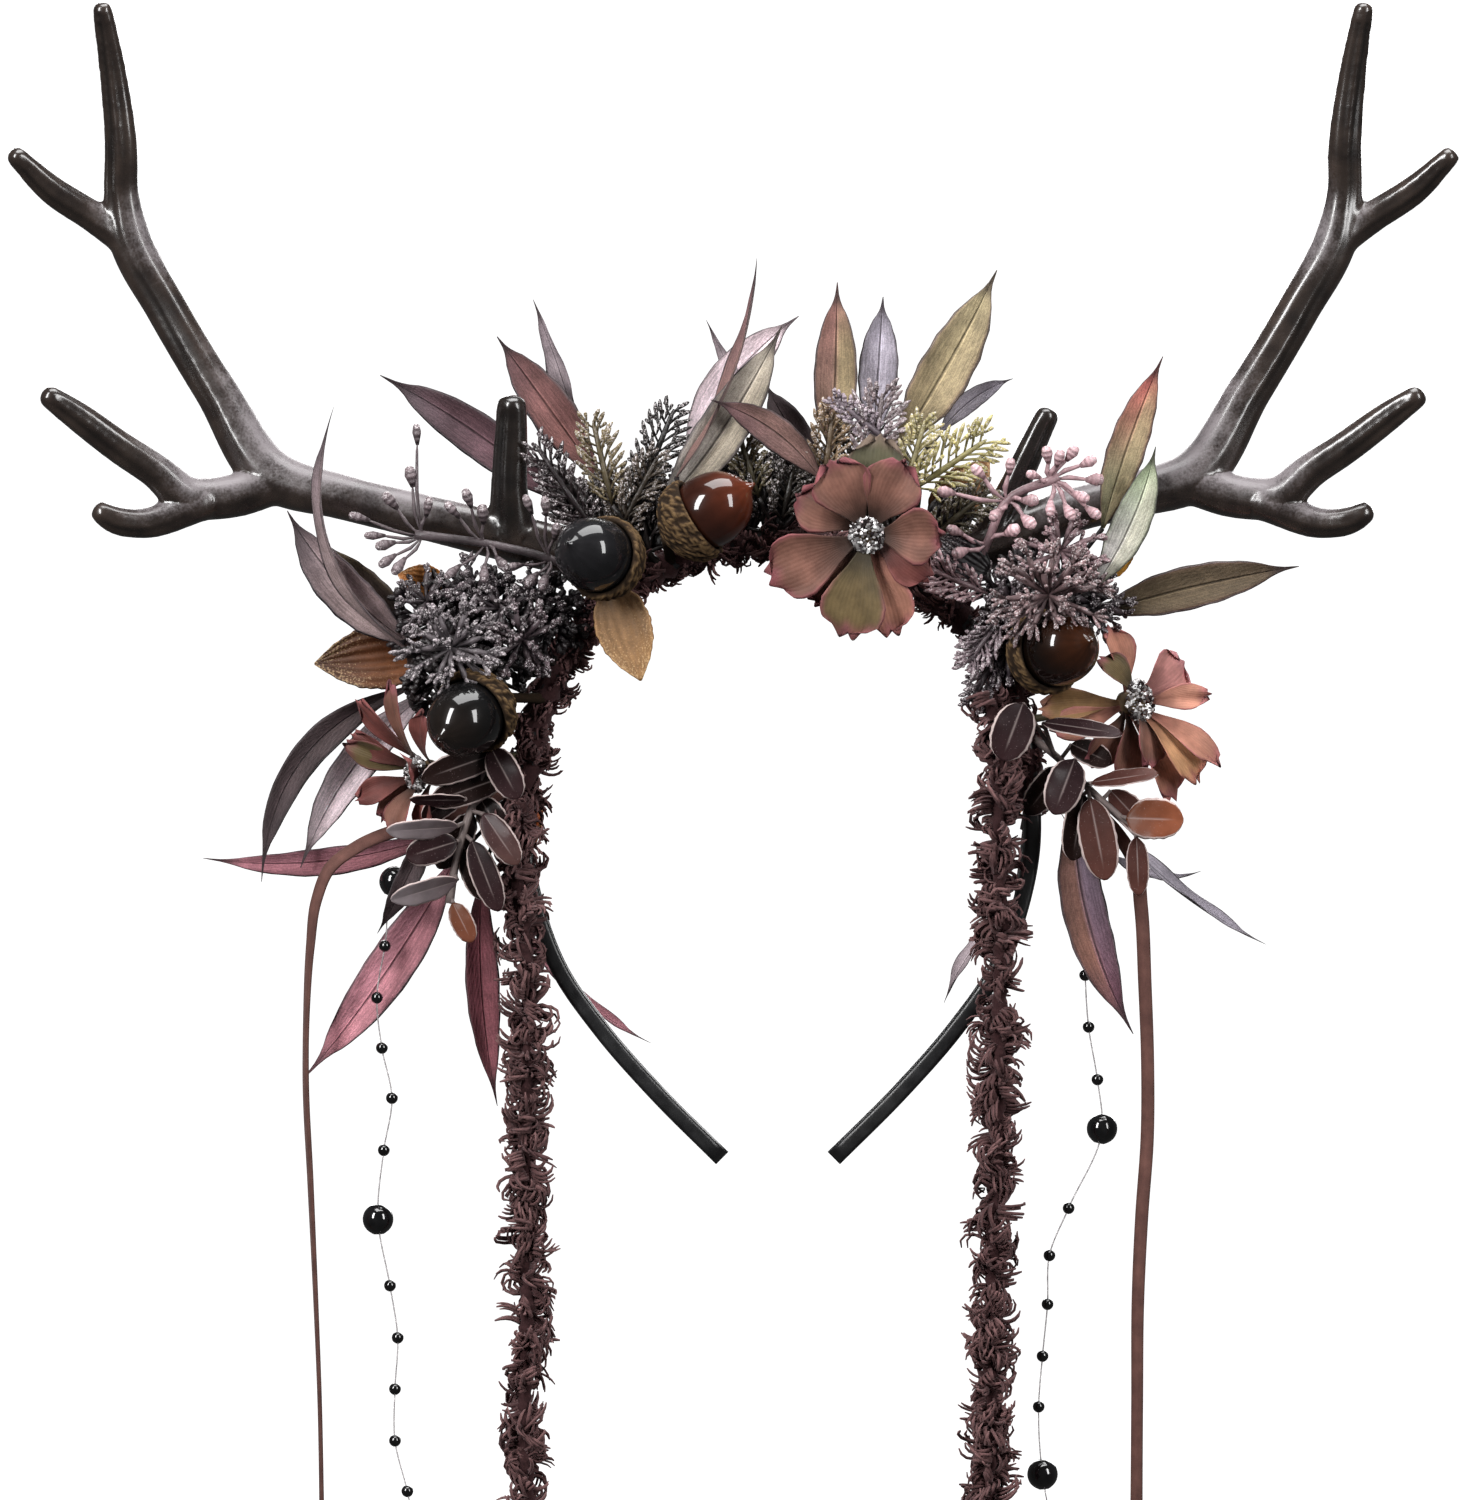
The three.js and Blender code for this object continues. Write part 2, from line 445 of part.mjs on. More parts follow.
// A solid turned about an axis through a centre.
function turned(rows, ends, centre, axis, sides) {
  const u = (Math.abs(axis.y) > 0.8 ? UP : vec(0, 1, 0)).clone().cross(axis).normalize();
  const v = axis.clone().cross(u);
  const rings = rows.map((row) =>
    circle(row.radius, sides).map(([a, b]) =>
      centre.clone().addScaledVector(axis, row.along).addScaledVector(u, a).addScaledVector(v, b)));
  const [first, last] = ends.map((along) => centre.clone().addScaledVector(axis, along));
  return loft(rings, first, last);
}

function solidOf(geometry) {
  const bare = mergeVertices(geometry.clone().deleteAttribute("normal").deleteAttribute("uv"));
  return new wasm.Manifold(new wasm.Mesh({
    numProp: 3,
    vertProperties: Float32Array.from(bare.getAttribute("position").array),
    triVerts: Uint32Array.from(bare.getIndex().array),
  }));
}

// The same geometry with its skin moved out along its normals.
function grown(geometry, by) {
  const bare = mergeVertices(geometry.clone().deleteAttribute("normal").deleteAttribute("uv"));
  bare.computeVertexNormals();
  const position = bare.getAttribute("position");
  const normal = bare.getAttribute("normal");
  for (let i = 0; i < position.count; i++) {
    const outwards = vec().fromBufferAttribute(normal, i);
    const moved = vec().fromBufferAttribute(position, i).addScaledVector(outwards, by);
    position.setXYZ(i, moved.x, moved.y, moved.z);
  }
  return bare;
}

const fused = (geometries) => geometries.map(solidOf).reduce((whole, next) => whole.add(next));

const crown = new THREE.Group();
const placed = [];

// Joins a piece's shapes, cuts it clear of the pieces before it and hangs it in the crown.
function place(family, name, colour, shapes, roughness = ROUGHNESS.other) {
  const whole = fused(shapes);
  const cut = placed.reduce((rest, cutter) => rest.subtract(cutter), whole);
  const [body] = cut.decompose().sort((a, b) => b.volume() - a.volume());
  placed.push(fused(shapes.map((shape) => grown(shape, GAP))).add(whole));
  const mesh = body.getMesh();
  const geometry = new THREE.BufferGeometry();
  geometry.setAttribute("position", new THREE.BufferAttribute(mesh.vertProperties, mesh.numProp));
  geometry.setIndex(new THREE.BufferAttribute(mesh.triVerts, 1));
  const material = new THREE.MeshStandardMaterial({ color: colour, roughness, metalness: 0 });
  const node = new THREE.Mesh(geometry, material);
  node.name = name;
  family.add(node);
}

function familyOf() {
  const family = new THREE.Group();
  crown.add(family);
  return family;
}

function hoopCurve() {
  const right = HOOP_HALF.map(({ out, up }) => vec(out, 0, up));
  const left = HOOP_HALF.map(({ out, up }) => vec(-out, 0, up)).reverse();
  return new THREE.CatmullRomCurve3([...left, vec(0, 0, HOOP_TOP), ...right]);
}

function headband() {
  const centres = hoopCurve().getSpacedPoints(HOOP.steps);
  const section = (share) => {
    const a = HOOP.thickness / 2;
    const b = (HOOP.width / 2) * share;
    const c = HOOP.chamfer;
    const half = [[a, c - b], [a, b - c], [a - c, b], [c - a, b]];
    return [...half, ...half.map(([x, y]) => [-x, -y])];
  };
  const isEnd = (i) => i === 0 || i === centres.length - 1;
  return sweep(centres, (i) => section(isEnd(i) ? HOOP.endTaper : 1), HOOP.thickness / 2);
}

function bandWrap() {
  const centres = hoopCurve().getSpacedPoints(WRAP.steps).filter((point) => point.z > WRAP.lowest);
  const bulge = (i) => (i % 2 ? 1 : WRAP.dip);
  return sweep(centres, (i) => circle(WRAP.height * bulge(i), WRAP.sides, WRAP.depth / WRAP.height));
}

function antler(side) {
  const sign = side === "left" ? -1 : 1;
  const mirrored = (rows) => rows.map((row) => ({ ...row, x: PAIR_MIDDLE + sign * row.out }));
  const { main, ...branches } = LIMBS;
  const beam = [...BEAMS[side], ...mirrored(main)];
  const limbs = [beam, ...Object.values(branches).map(mirrored), FRONT_TINES[side]];
  return limbs.map(limb);
}

// The direction an angle away from the first one, towards the second.
const turnedBy = (first, second, angle) =>
  first.clone().multiplyScalar(Math.cos(angle)).addScaledVector(second, Math.sin(angle));

// One whorl: petals round a small hub, each leaning a little towards the way the flower faces.
function whorl(centre, face, rows) {
  const right = UP.clone().cross(face).normalize();
  const up = face.clone().cross(right);
  const hub = turned(
    [{ along: -FLOWER.hubDepth, radius: FLOWER.hub }, { along: FLOWER.hubDepth / 2, radius: FLOWER.hub }],
    [-FLOWER.hubDepth, FLOWER.hubDepth / 2], centre, face, FLOWER.hubSides);
  const petals = rows.map(({ turn, length, width, lean }) => {
    const out = turnedBy(right, up, radians(turn));
    const way = turnedBy(out, face, radians(lean));
    const base = centre.clone().addScaledVector(out, FLOWER.petalStart);
    const tip = centre.clone().addScaledVector(way, length);
    return blade({ base, tip, width, outline: "petal", lift: FLOWER.curl, fold: FOLD.petal, face });
  });
  return [hub, ...petals];
}

const petalsOf = (flower, layer) => PETALS.filter((row) => row.flower === flower.name && row.whorl === layer);

const flowerCentre = (centre, face) =>
  turned(CENTRE_PROFILE, [0, FLOWER_CENTRE.height], centre, face, FLOWER_CENTRE.sides);

function umbel(row) {
  const hub = at(row);
  const face = faceOf(row);
  const right = UP.clone().cross(face).normalize();
  const up = face.clone().cross(right);
  const golden = Math.PI * (3 - Math.sqrt(5));
  const fingers = Array.from({ length: row.fingers }, (_, i) => {
    const tilt = UMBEL.spread * Math.sqrt((i + 0.5) / row.fingers);
    const way = turnedBy(face, turnedBy(right, up, golden * i), tilt);
    return finger(hub, hub.clone().addScaledVector(way, row.reach));
  });
  const stemEnd = hub.clone().addScaledVector(face, UMBEL.stemDepth);
  return [stem(rootOf(row), stemEnd, STEM.radius, UMBEL.stemSides), ...fingers];
}

function twigs(line) {
  const points = line.map((point) => vec(...point));
  return points.slice(1).map((point, i) => stem(points[i], point));
}

function budSpray({ stem: line, buds }) {
  const budded = buds.map((row) => {
    const behind = at(row).sub(tipOf(row)).setLength(STEM.radius).add(at(row));
    return finger(behind, tipOf(row));
  });
  return [...twigs(line), ...budded];
}

function boxwood({ stem: line, leaves }) {
  const blades = leaves.map((row) => {
    const foot = vec(row.footX, row.footY, row.footZ);
    return blade({ ...row, foot, base: at(row), tip: tipOf(row), outline: "oval", fold: FOLD.oval });
  });
  return [...twigs(line), ...blades];
}

// A stem from the band towards the leaves, and one after another on it every leaf on a stalk of its own.
function forked(root, leaves) {
  const end = root.clone().lerp(middle(leaves.map(({ base }) => base)), STEM.fork);
  const step = (1 - STEM.firstStalk) / leaves.length;
  const footOf = (i) => root.clone().lerp(end, STEM.firstStalk + step * i);
  return [stem(root, end), ...leaves.map((leaf, i) => blade({ ...leaf, foot: footOf(i) }))];
}

const willow = (spray) =>
  forked(rootOf(spray), LEAVES.filter((row) => row.spray === spray.name)
    .map((row) => ({ ...row, base: at(row), tip: tipOf(row), outline: "willow" })));

const fern = (sprig) =>
  forked(rootOf(sprig), FRONDS.filter((row) => row.fern === sprig.name)
    .map((row) => ({ ...row, base: at(row), tip: tipOf(row), outline: "fern" })));

const husk = (row) =>
  blade({ foot: rootOf(row), base: at(row), tip: tipOf(row), width: row.width, ...HUSK, outline: "husk" });

function hangingTube(points, outline, steps) {
  const line = new THREE.CatmullRomCurve3(points.map((point) => vec(...point)));
  const shape = new THREE.Shape(outline.map(([x, y]) => new THREE.Vector2(x, y)));
  return new THREE.ExtrudeGeometry(shape, { steps, bevelEnabled: false, extrudePath: line });
}

function laceOutline(turn) {
  const angle = radians(turn);
  return circle(LACE.thickness / 2, 8, LACE.width / LACE.thickness).map(([x, y]) => [
    x * Math.cos(angle) - y * Math.sin(angle), x * Math.sin(angle) + y * Math.cos(angle),
  ]);
}

function beadString(rows) {
  const line = rows.map(at);
  const stations = rows.flatMap((row, i) => {
    const way = line[Math.min(i + 1, line.length - 1)].clone().sub(line[Math.max(i - 1, 0)]).normalize();
    if (!row.bead) return [{ centre: line[i], radius: THREAD.radius }];
    return BEAD_PROFILE.map(({ along, radius }) => ({
      centre: line[i].clone().addScaledVector(way, along * row.bead),
      radius: Math.max(radius * row.bead, THREAD.radius),
    }));
  });
  return sweep(stations.map(({ centre }) => centre), (i) => circle(stations[i].radius, THREAD.sides));
}

const base = familyOf();
place(base, "headband", COLOUR.hoop, [headband()], ROUGHNESS.hoop);
place(base, "band_wrap", COLOUR.yarn, [bandWrap()], ROUGHNESS.yarn);

const antlers = familyOf();
place(antlers, "antler_left", COLOUR.antler, antler("left"), ROUGHNESS.antler);
place(antlers, "antler_right", COLOUR.antler, antler("right"), ROUGHNESS.antler);

const hanging = familyOf();
for (const [name, points] of Object.entries(YARN_LINES)) {
  const tube = hangingTube(points, circle(YARN.radius, YARN.sides), YARN.steps);
  place(hanging, name, COLOUR.yarn, [tube], ROUGHNESS.yarn);
}
for (const [name, { line, turn }] of Object.entries(LACES)) {
  place(hanging, name, COLOUR.lace, [hangingTube(line, laceOutline(turn), LACE.steps)], ROUGHNESS.lace);
}
for (const [name, rows] of Object.entries(BEAD_STRINGS)) {
  place(hanging, name, COLOUR.bead, [beadString(rows)], ROUGHNESS.bead);
}

const acorns = familyOf();
for (const row of ACORNS) {
  const axis = tipOf(row).normalize();
  const nut = turned(NUT, [NUT_ENDS.base, NUT_ENDS.tip], at(row), axis, ACORN.sides);
  const cap = turned(CAP, [CAP_ENDS.base, CAP_ENDS.rim], at(row), axis, ACORN.sides);
  const pole = at(row).addScaledVector(axis, CAP_ENDS.base + ACORN.stemDepth);
  place(acorns, `${row.name}_nut`, row.colour, [nut], ROUGHNESS.nut);
  place(acorns, `${row.name}_cap`, COLOUR.cap, [cap, stem(rootOf(row), pole, ACORN.stem)]);
}

const flowers = familyOf();
for (const row of FLOWERS) {
  const face = faceOf(row);
  const behind = at(row).addScaledVector(face, -FLOWER.whorlStep);
  const ahead = at(row).addScaledVector(face, FLOWER_CENTRE.lift);
  const back = [...whorl(behind, face, petalsOf(row, "back")), stem(rootOf(row), behind)];
  place(flowers, `${row.name}_back_petals`, COLOUR.backPetal, back, ROUGHNESS.cloth);
  const front = whorl(at(row), face, petalsOf(row, "front"));
  place(flowers, `${row.name}_front_petals`, COLOUR.frontPetal, front, ROUGHNESS.cloth);
  place(flowers, `${row.name}_centre`, COLOUR.flowerCentre, [flowerCentre(ahead, face)]);
}

const sprigs = familyOf();
for (const [name, sprig] of Object.entries(BOXWOOD)) {
  place(sprigs, name, COLOUR.boxwood, boxwood(sprig), ROUGHNESS.boxwood);
}
for (const spray of SPRAYS) place(sprigs, spray.name, spray.colour, willow(spray), ROUGHNESS.cloth);
for (const row of HUSKS) place(sprigs, row.name, row.colour, [husk(row)]);
for (const [name, spray] of Object.entries(BUD_SPRAYS)) place(sprigs, name, spray.colour, budSpray(spray));
for (const row of UMBELS) place(sprigs, row.name, row.colour, umbel(row));
for (const row of FERNS) place(sprigs, row.name, row.colour, fern(row));

export default crown;
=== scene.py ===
import bpy
import numpy as np
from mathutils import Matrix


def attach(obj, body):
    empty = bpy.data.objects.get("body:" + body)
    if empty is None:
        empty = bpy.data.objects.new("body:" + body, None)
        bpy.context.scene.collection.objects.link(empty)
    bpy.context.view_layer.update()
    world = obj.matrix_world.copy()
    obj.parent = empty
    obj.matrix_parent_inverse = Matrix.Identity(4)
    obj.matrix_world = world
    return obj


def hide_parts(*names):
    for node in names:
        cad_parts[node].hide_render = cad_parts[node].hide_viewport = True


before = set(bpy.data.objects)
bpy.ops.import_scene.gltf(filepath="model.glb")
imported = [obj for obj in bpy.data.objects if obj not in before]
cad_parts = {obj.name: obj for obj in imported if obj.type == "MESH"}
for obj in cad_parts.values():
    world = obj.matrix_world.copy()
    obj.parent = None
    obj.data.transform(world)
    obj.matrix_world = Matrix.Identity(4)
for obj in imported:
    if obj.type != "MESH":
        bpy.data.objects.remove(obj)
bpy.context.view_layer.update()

MM = 0.001
FRONT = np.array((0.0, -1.0, 0.0))
UP = np.array((0.0, 0.0, 1.0))
DEPTH = np.array((0.0, 1.0, 0.0))
GOLDEN = np.pi * (3 - np.sqrt(5))
# A way with more than this share of depth runs in depth; a spline's stretch is first cut into so many steps.
STEEP = 0.8
FINE = 24
TINY = 1e-9

# The photograph's view: level, from the front, through the middle of the frame.
CAMERA = {"x": -11.7, "z": -49.4, "distance": 2500, "frame": 390, "sensor": 36, "far": 40}


def rows(columns, table):
    """Every row of a table as a dictionary with the table's column names."""
    return [dict(zip(columns.split(), row)) for row in table]


def channels(code):
    """A screen colour such as #43292d as three numbers from 0 to 255."""
    return np.array([int(code[i:i + 2], 16) for i in (1, 3, 5)])


def colour(code):
    """A screen colour as linear red, green and blue."""
    share = channels(code) / 255
    return np.where(share <= 0.04045, share / 12.92, ((share + 0.055) / 1.055) ** 2.4)


def unit(vectors):
    """Vectors divided by their own length."""
    return vectors / np.maximum(np.linalg.norm(vectors, axis=-1, keepdims=True), TINY)


def blend(first, second, share):
    """The first value, moved towards the second by a share for each point."""
    return first + (second - first) * np.asarray(share)[..., None]


def ease(low, high, value):
    """0 below low, 1 above high, and a smooth step between them."""
    share = np.clip((value - low) / (high - low), 0, 1)
    return share * share * (3 - 2 * share)


def bell(value, width):
    """1 at zero, falling to nothing over the width: the power of e to minus the square of their ratio."""
    return np.exp(-((value / width) ** 2))


def turns(sides):
    """Even steps once round, in radians."""
    return np.linspace(0, 2 * np.pi, sides, endpoint=False)


def turned_by(first, second, angle):
    """The direction an angle away from the first one, towards the second."""
    return first * np.cos(angle) + second * np.sin(angle)


def squarish(wave, power):
    """A sine or cosine, pushed out towards 1 and -1 by a power below 1."""
    return np.sign(wave) * np.abs(wave) ** power


def places(along, across, side):
    """The three numbers of a spot, for every point of a grid."""
    return np.stack(np.broadcast_arrays(along, across, side), -1)


def steps(line):
    """The length of every step of a line."""
    return np.linalg.norm(np.diff(line[:, :3], axis=0), axis=1)


def length_of(line):
    """The sum of a line's steps."""
    return float(steps(line).sum())


def run_of(line):
    """How far along a line each of its points lies."""
    return np.concatenate([[0], np.cumsum(steps(line))])


def spline(knots, count):
    """A line through the knots at even steps: each stretch is a cubic whose end slopes come from the
    neighbouring knots, with the distance between knots as its parameter."""
    knots = np.asarray(knots, float)
    span, at = steps(knots), run_of(knots)
    slope = np.gradient(knots, at, axis=0)
    fine = np.linspace(0, at[-1], FINE * len(knots))
    i = np.clip(np.searchsorted(at, fine, side="right") - 1, 0, len(span) - 1)
    t = ((fine - at[i]) / span[i])[:, None]
    h = span[i][:, None]
    line = ((2 * t**3 - 3 * t**2 + 1) * knots[i] + (t**3 - 2 * t**2 + t) * h * slope[i]
            + (3 * t**2 - 2 * t**3) * knots[i + 1] + (t**3 - t**2) * h * slope[i + 1])
    run = run_of(line)
    even = np.linspace(0, run[-1], count)
    return np.stack([np.interp(even, run, column) for column in line.T], 1)


def bent(base, bend, tip, share):
    """A quadratic curve from base to tip that leaves both towards the bend."""
    return (1 - share) ** 2 * base + 2 * share * (1 - share) * bend + share * share * tip


def clear_of(way):
    """The depth direction, or up for a way that itself runs in depth."""
    return np.where(np.abs(way[..., 1:2]) > STEEP, UP, DEPTH)


def frames(line, reference=DEPTH):
    """A line's way and two directions square to it, the first one square to the reference too."""
    way = unit(np.gradient(line, axis=-2))
    u = unit(np.cross(reference, way))
    return way, u, np.cross(way, u)


def tube(line, radius, sides, squash=1.0, reference=DEPTH):
    """Rings along a line: the centre plus the radius times the cosine of the turn along the first
    cross direction, and times the sine and the squash along the second."""
    _, u, v = frames(line, reference)
    turn = turns(sides)
    radius = np.broadcast_to(np.asarray(radius, float), line.shape[:-1])[..., None, None]
    return (line[..., None, :] + radius * np.cos(turn)[:, None] * u[..., None, :]
            + radius * squash * np.sin(turn)[:, None] * v[..., None, :])


class Skin:
    """One piece's patches as arrays: points, faces, and for every point a spot (along, across, side)
    and a tint."""

    def __init__(self):
        self.points, self.quads, self.tris, self.spots, self.tints, self.paints = [], [], [], [], [], []
        self.count = 0

    def loft(self, rings, first=None, last=None, spot=(0, 0, 0), tint=(1, 1, 1), paint=0):
        """Closes a skin over rings[copy, row, side]: a quad between each four neighbours, and a fan to a
        pole at either end."""
        rings = np.asarray(rings, float)
        rings = rings[None] if rings.ndim == 3 else rings
        copies, length, sides, _ = rings.shape
        size = length * sides + 2
        first = rings[:, 0].mean(1) if first is None else np.broadcast_to(first, (copies, 3))
        last = rings[:, -1].mean(1) if last is None else np.broadcast_to(last, (copies, 3))

        def flat(values, start, end):
            grid = values.reshape(copies, length * sides, 3)
            return np.concatenate([start[:, None], grid, end[:, None]], 1).reshape(-1, 3)

        def spread(values):
            values = np.broadcast_to(np.asarray(values, float), rings.shape)
            return flat(values, values[:, 0].mean(1), values[:, -1].mean(1))

        row, side = np.meshgrid(np.arange(length - 1), np.arange(sides), indexing="ij")
        here = 1 + row * sides + side
        beside = 1 + row * sides + (side + 1) % sides
        quads = np.stack([here, beside, beside + sides, here + sides], -1).reshape(-1, 4)
        one = 1 + np.arange(sides)
        two = 1 + (np.arange(sides) + 1) % sides
        top = (length - 1) * sides
        tris = np.concatenate([np.stack([0 * one, two, one], -1),
                               np.stack([0 * one + size - 1, one + top, two + top], -1)])
        step = self.count + np.arange(copies)[:, None, None] * size
        self.quads.append((quads[None] + step).reshape(-1, 4))
        self.tris.append((tris[None] + step).reshape(-1, 3))
        self.paints.append((paint, copies * len(quads), copies * len(tris)))
        self.points.append(flat(rings, first, last))
        self.spots.append(spread(spot))
        self.tints.append(spread(tint))
        self.count += copies * size
        return self

    def mesh(self, name, smooth=True):
        """The patches as one Blender mesh in metres, with its spots and tints."""
        points, quads, tris = (np.concatenate(x) for x in (self.points, self.quads, self.tris))
        paint = [np.full(n, p) for p, n, _ in self.paints] + [np.full(n, p) for p, _, n in self.paints]
        corners = np.concatenate([quads.ravel(), tris.ravel()])
        sizes = np.concatenate([np.full(len(quads), 4), np.full(len(tris), 3)])
        mesh = bpy.data.meshes.new(name)
        mesh.vertices.add(len(points))
        mesh.loops.add(len(corners))
        mesh.polygons.add(len(sizes))
        mesh.vertices.foreach_set("co", packed(points * MM))
        mesh.loops.foreach_set("vertex_index", corners.astype(np.int32))
        mesh.polygons.foreach_set("loop_start", (np.cumsum(sizes) - sizes).astype(np.int32))
        mesh.polygons.foreach_set("material_index", np.concatenate(paint).astype(np.int32))
        mesh.polygons.foreach_set("use_smooth", np.full(len(sizes), smooth))
        mesh.update(calc_edges=True)
        mark(mesh, np.concatenate(self.spots), np.concatenate(self.tints))
        return mesh

    def piece(self, node, slot, *finishes, smooth=True):
        """A finished piece that stands for a node of the part."""
        return piece_of(self.mesh(node + "_look", smooth), [node], finishes)


def packed(values):
    """Values as the flat row of single-precision numbers that Blender takes."""
    return np.ascontiguousarray(values, np.float32).ravel()


def mark(mesh, spots, tints):
    """Writes every point's spot and tint into the mesh."""
    spot = mesh.attributes.new("spot", "FLOAT_VECTOR", "POINT")
    spot.data.foreach_set("vector", packed(spots))
    tint = mesh.attributes.new("tint", "FLOAT_COLOR", "POINT")
    solid = np.concatenate([np.clip(tints, 0, 1), np.ones((len(tints), 1))], 1)
    tint.data.foreach_set("color", packed(solid))


def placed(name, data):
    """A new object in the scene."""
    made = bpy.data.objects.new(name, data)
    bpy.context.scene.collection.objects.link(made)
    return made


def piece_of(mesh, nodes, finishes):
    """An object for a mesh, in the finishes it is given, that rides on the crown for its nodes."""
    for finish in finishes:
        mesh.materials.append(finish)
    piece = placed(mesh.name, mesh)
    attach(piece, "root")
    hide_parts(*nodes)
    return piece


class Value:
    """A shader socket that Python's operators work on: each operator adds one Math node."""

    def __init__(self, finish, socket):
        self.finish, self.socket = finish, socket

    def math(self, operation, *others, swapped=False):
        terms = [*others, self] if swapped else [self, *others]
        return self.finish.node("ShaderNodeMath", {"operation": operation}, dict(enumerate(terms)))

    def __add__(self, other):
        return self.math("ADD", other)

    def __sub__(self, other):
        return self.math("SUBTRACT", other)

    def __mul__(self, other):
        return self.math("MULTIPLY", other)

    def __rsub__(self, other):
        return self.math("SUBTRACT", other, swapped=True)

    __radd__, __rmul__ = __add__, __mul__

    def wave(self):
        """The sine, from 0 to 1."""
        return self.math("SINE") * 0.5 + 0.5

    def size(self):
        return self.math("ABSOLUTE")

    def falloff(self, width):
        """1 at zero, falling to nothing over the width, as a bell curve."""
        return (self * self * (-1 / width**2)).math("EXPONENT")

    def step(self, low, high):
        """0 below low, 1 above high, smooth between them."""
        return self.finish.node("ShaderNodeMapRange", {"interpolation_type": "SMOOTHSTEP"},
                                {"Value": self, "From Min": low, "From Max": high})


class Finish:
    """One material: its fixed values go on the shader's own sockets, and what varies is fed to it."""

    def __init__(self, name, **fixed):
        self.material = bpy.data.materials.new(name)
        self.material.use_nodes = True
        self.tree = self.material.node_tree
        self.shader = self.tree.nodes["Principled BSDF"]
        for key, value in fixed.items():
            self.shader.inputs[key.replace("_", " ")].default_value = value

    def node(self, kind, settings=None, sockets=None, out=0):
        """Any node: its settings first, then the values or links of its sockets."""
        made = self.tree.nodes.new(kind)
        for key, value in (settings or {}).items():
            if key == "stops":
                ramp = made.color_ramp
                while len(ramp.elements) < len(value):
                    ramp.elements.new(0.5)
                for element, (place, shade) in zip(ramp.elements, value):
                    element.position = place
                    element.color = (*colour(shade), 1)
            else:
                setattr(made, key, value)
        for key, value in (sockets or {}).items():
            if isinstance(value, Value):
                self.tree.links.new(value.socket, made.inputs[key])
            else:
                made.inputs[key].default_value = value
        return Value(self, made.outputs[out])

    def feed(self, **links):
        for key, value in links.items():
            self.tree.links.new(value.socket, self.shader.inputs[key.replace("_", " ")])
        return self.material

    def noise(self, scale, detail=3.0, roughness=0.55, vector=None):
        """Cloudy noise from 0 to 1 on the piece's own coordinates; the scale is in clouds a metre."""
        place = vector or self.node("ShaderNodeTexCoord", out=3)
        return self.node("ShaderNodeTexNoise", None,
                         {"Vector": place, "Scale": scale, "Detail": detail, "Roughness": roughness})

    def spot(self):
        """The three numbers that every point carries."""
        vector = self.node("ShaderNodeAttribute", {"attribute_name": "spot"}, out=1)
        return [self.node("ShaderNodeSeparateXYZ", None, {0: vector}, out=i) for i in range(3)]

    def tint(self):
        return self.node("ShaderNodeAttribute", {"attribute_name": "tint"})

    def mix(self, share, first, second):
        """One colour moved towards another by a share."""
        shade = [(*colour(x), 1) if isinstance(x, str) else x for x in (first, second)]
        return self.node("ShaderNodeMix", {"data_type": "RGBA"}, {0: share, 6: shade[0], 7: shade[1]}, out=2)

    def scaled(self, shade, factor):
        """A colour times a value at every point."""
        return self.node("ShaderNodeVectorMath", {"operation": "SCALE"}, {0: shade, "Scale": factor})

    def ramp(self, share, *stops):
        return self.node("ShaderNodeValToRGB", {"stops": stops}, {"Fac": share})

    def bump(self, height, distance, strength=1.0):
        """A relief of that height in metres under the light."""
        return self.node("ShaderNodeBump", None,
                         {"Strength": strength, "Distance": distance, "Height": height})


def hoop_plastic():
    """Black satin plastic with faint cloudy wear."""
    paint = Finish("hoop_plastic", Specular_IOR_Level=0.5)
    cloud = paint.noise(260)
    return paint.feed(Base_Color=paint.ramp(cloud, (0.3, "#141415"), (0.75, "#232324")),
                      Roughness=cloud * 0.22 + 0.24, Normal=paint.bump(paint.noise(2600), 0.00004))


def antler_plastic():
    """Brown-black satin lacquer: painted shade darkens the grooves, grey mauve dust mixed with painted sheen
    from above lies where the spot says so, and it is blacker where it is clean."""
    paint = Finish("antler_plastic", Coat_Roughness=0.2, Coat_IOR=1.5, Specular_IOR_Level=0.5)
    dust_and_sheen, deep, clean = paint.spot()
    cloud = paint.noise(150, 4)
    grain = paint.noise(1500, 4, 0.7)
    worn = cloud.step(0.3, 0.7) * 0.5 + grain.step(0.32, 0.68) * 0.5
    # The share of grey mauve: real dust together with painted sheen from the top light.
    share = (dust_and_sheen * (worn * 0.7 + 0.6) + worn * 0.2 - 0.12 - clean * 0.25).step(0.12, 0.95) * 0.86
    base = paint.mix(share, paint.ramp(cloud, (0.3, "#201917"), (0.75, "#40352f")), "#80797c")
    # Painted shade in the grooves; the clean front tine is blacker in its own colour.
    shade = (1.0 - deep * 0.7) * (1.0 - clean * 0.6)
    return paint.feed(Base_Color=paint.scaled(base, shade), Roughness=share * 0.35 + grain * 0.08 + 0.24,
                      Coat_Weight=0.85 - share * 0.75,
                      Normal=paint.bump(paint.noise(170, 2) * 0.8 + grain * share * 0.5, 0.0001))


def yarn():
    """Matte wool: every loop has its own tint, darker near the core as painted shade, mottled along its
    length.
    """
    paint = Finish("yarn", Roughness=0.95, Specular_IOR_Level=0.12, Sheen_Weight=0.35, Sheen_Roughness=0.5,
                   Sheen_Tint=(0.5, 0.36, 0.37, 1))
    cloud = paint.noise(1400, 2)
    return paint.feed(Base_Color=paint.scaled(paint.tint(), cloud * 0.9 + 0.55),
                      Normal=paint.bump(paint.noise(3800, 2), 0.0002, 0.8))


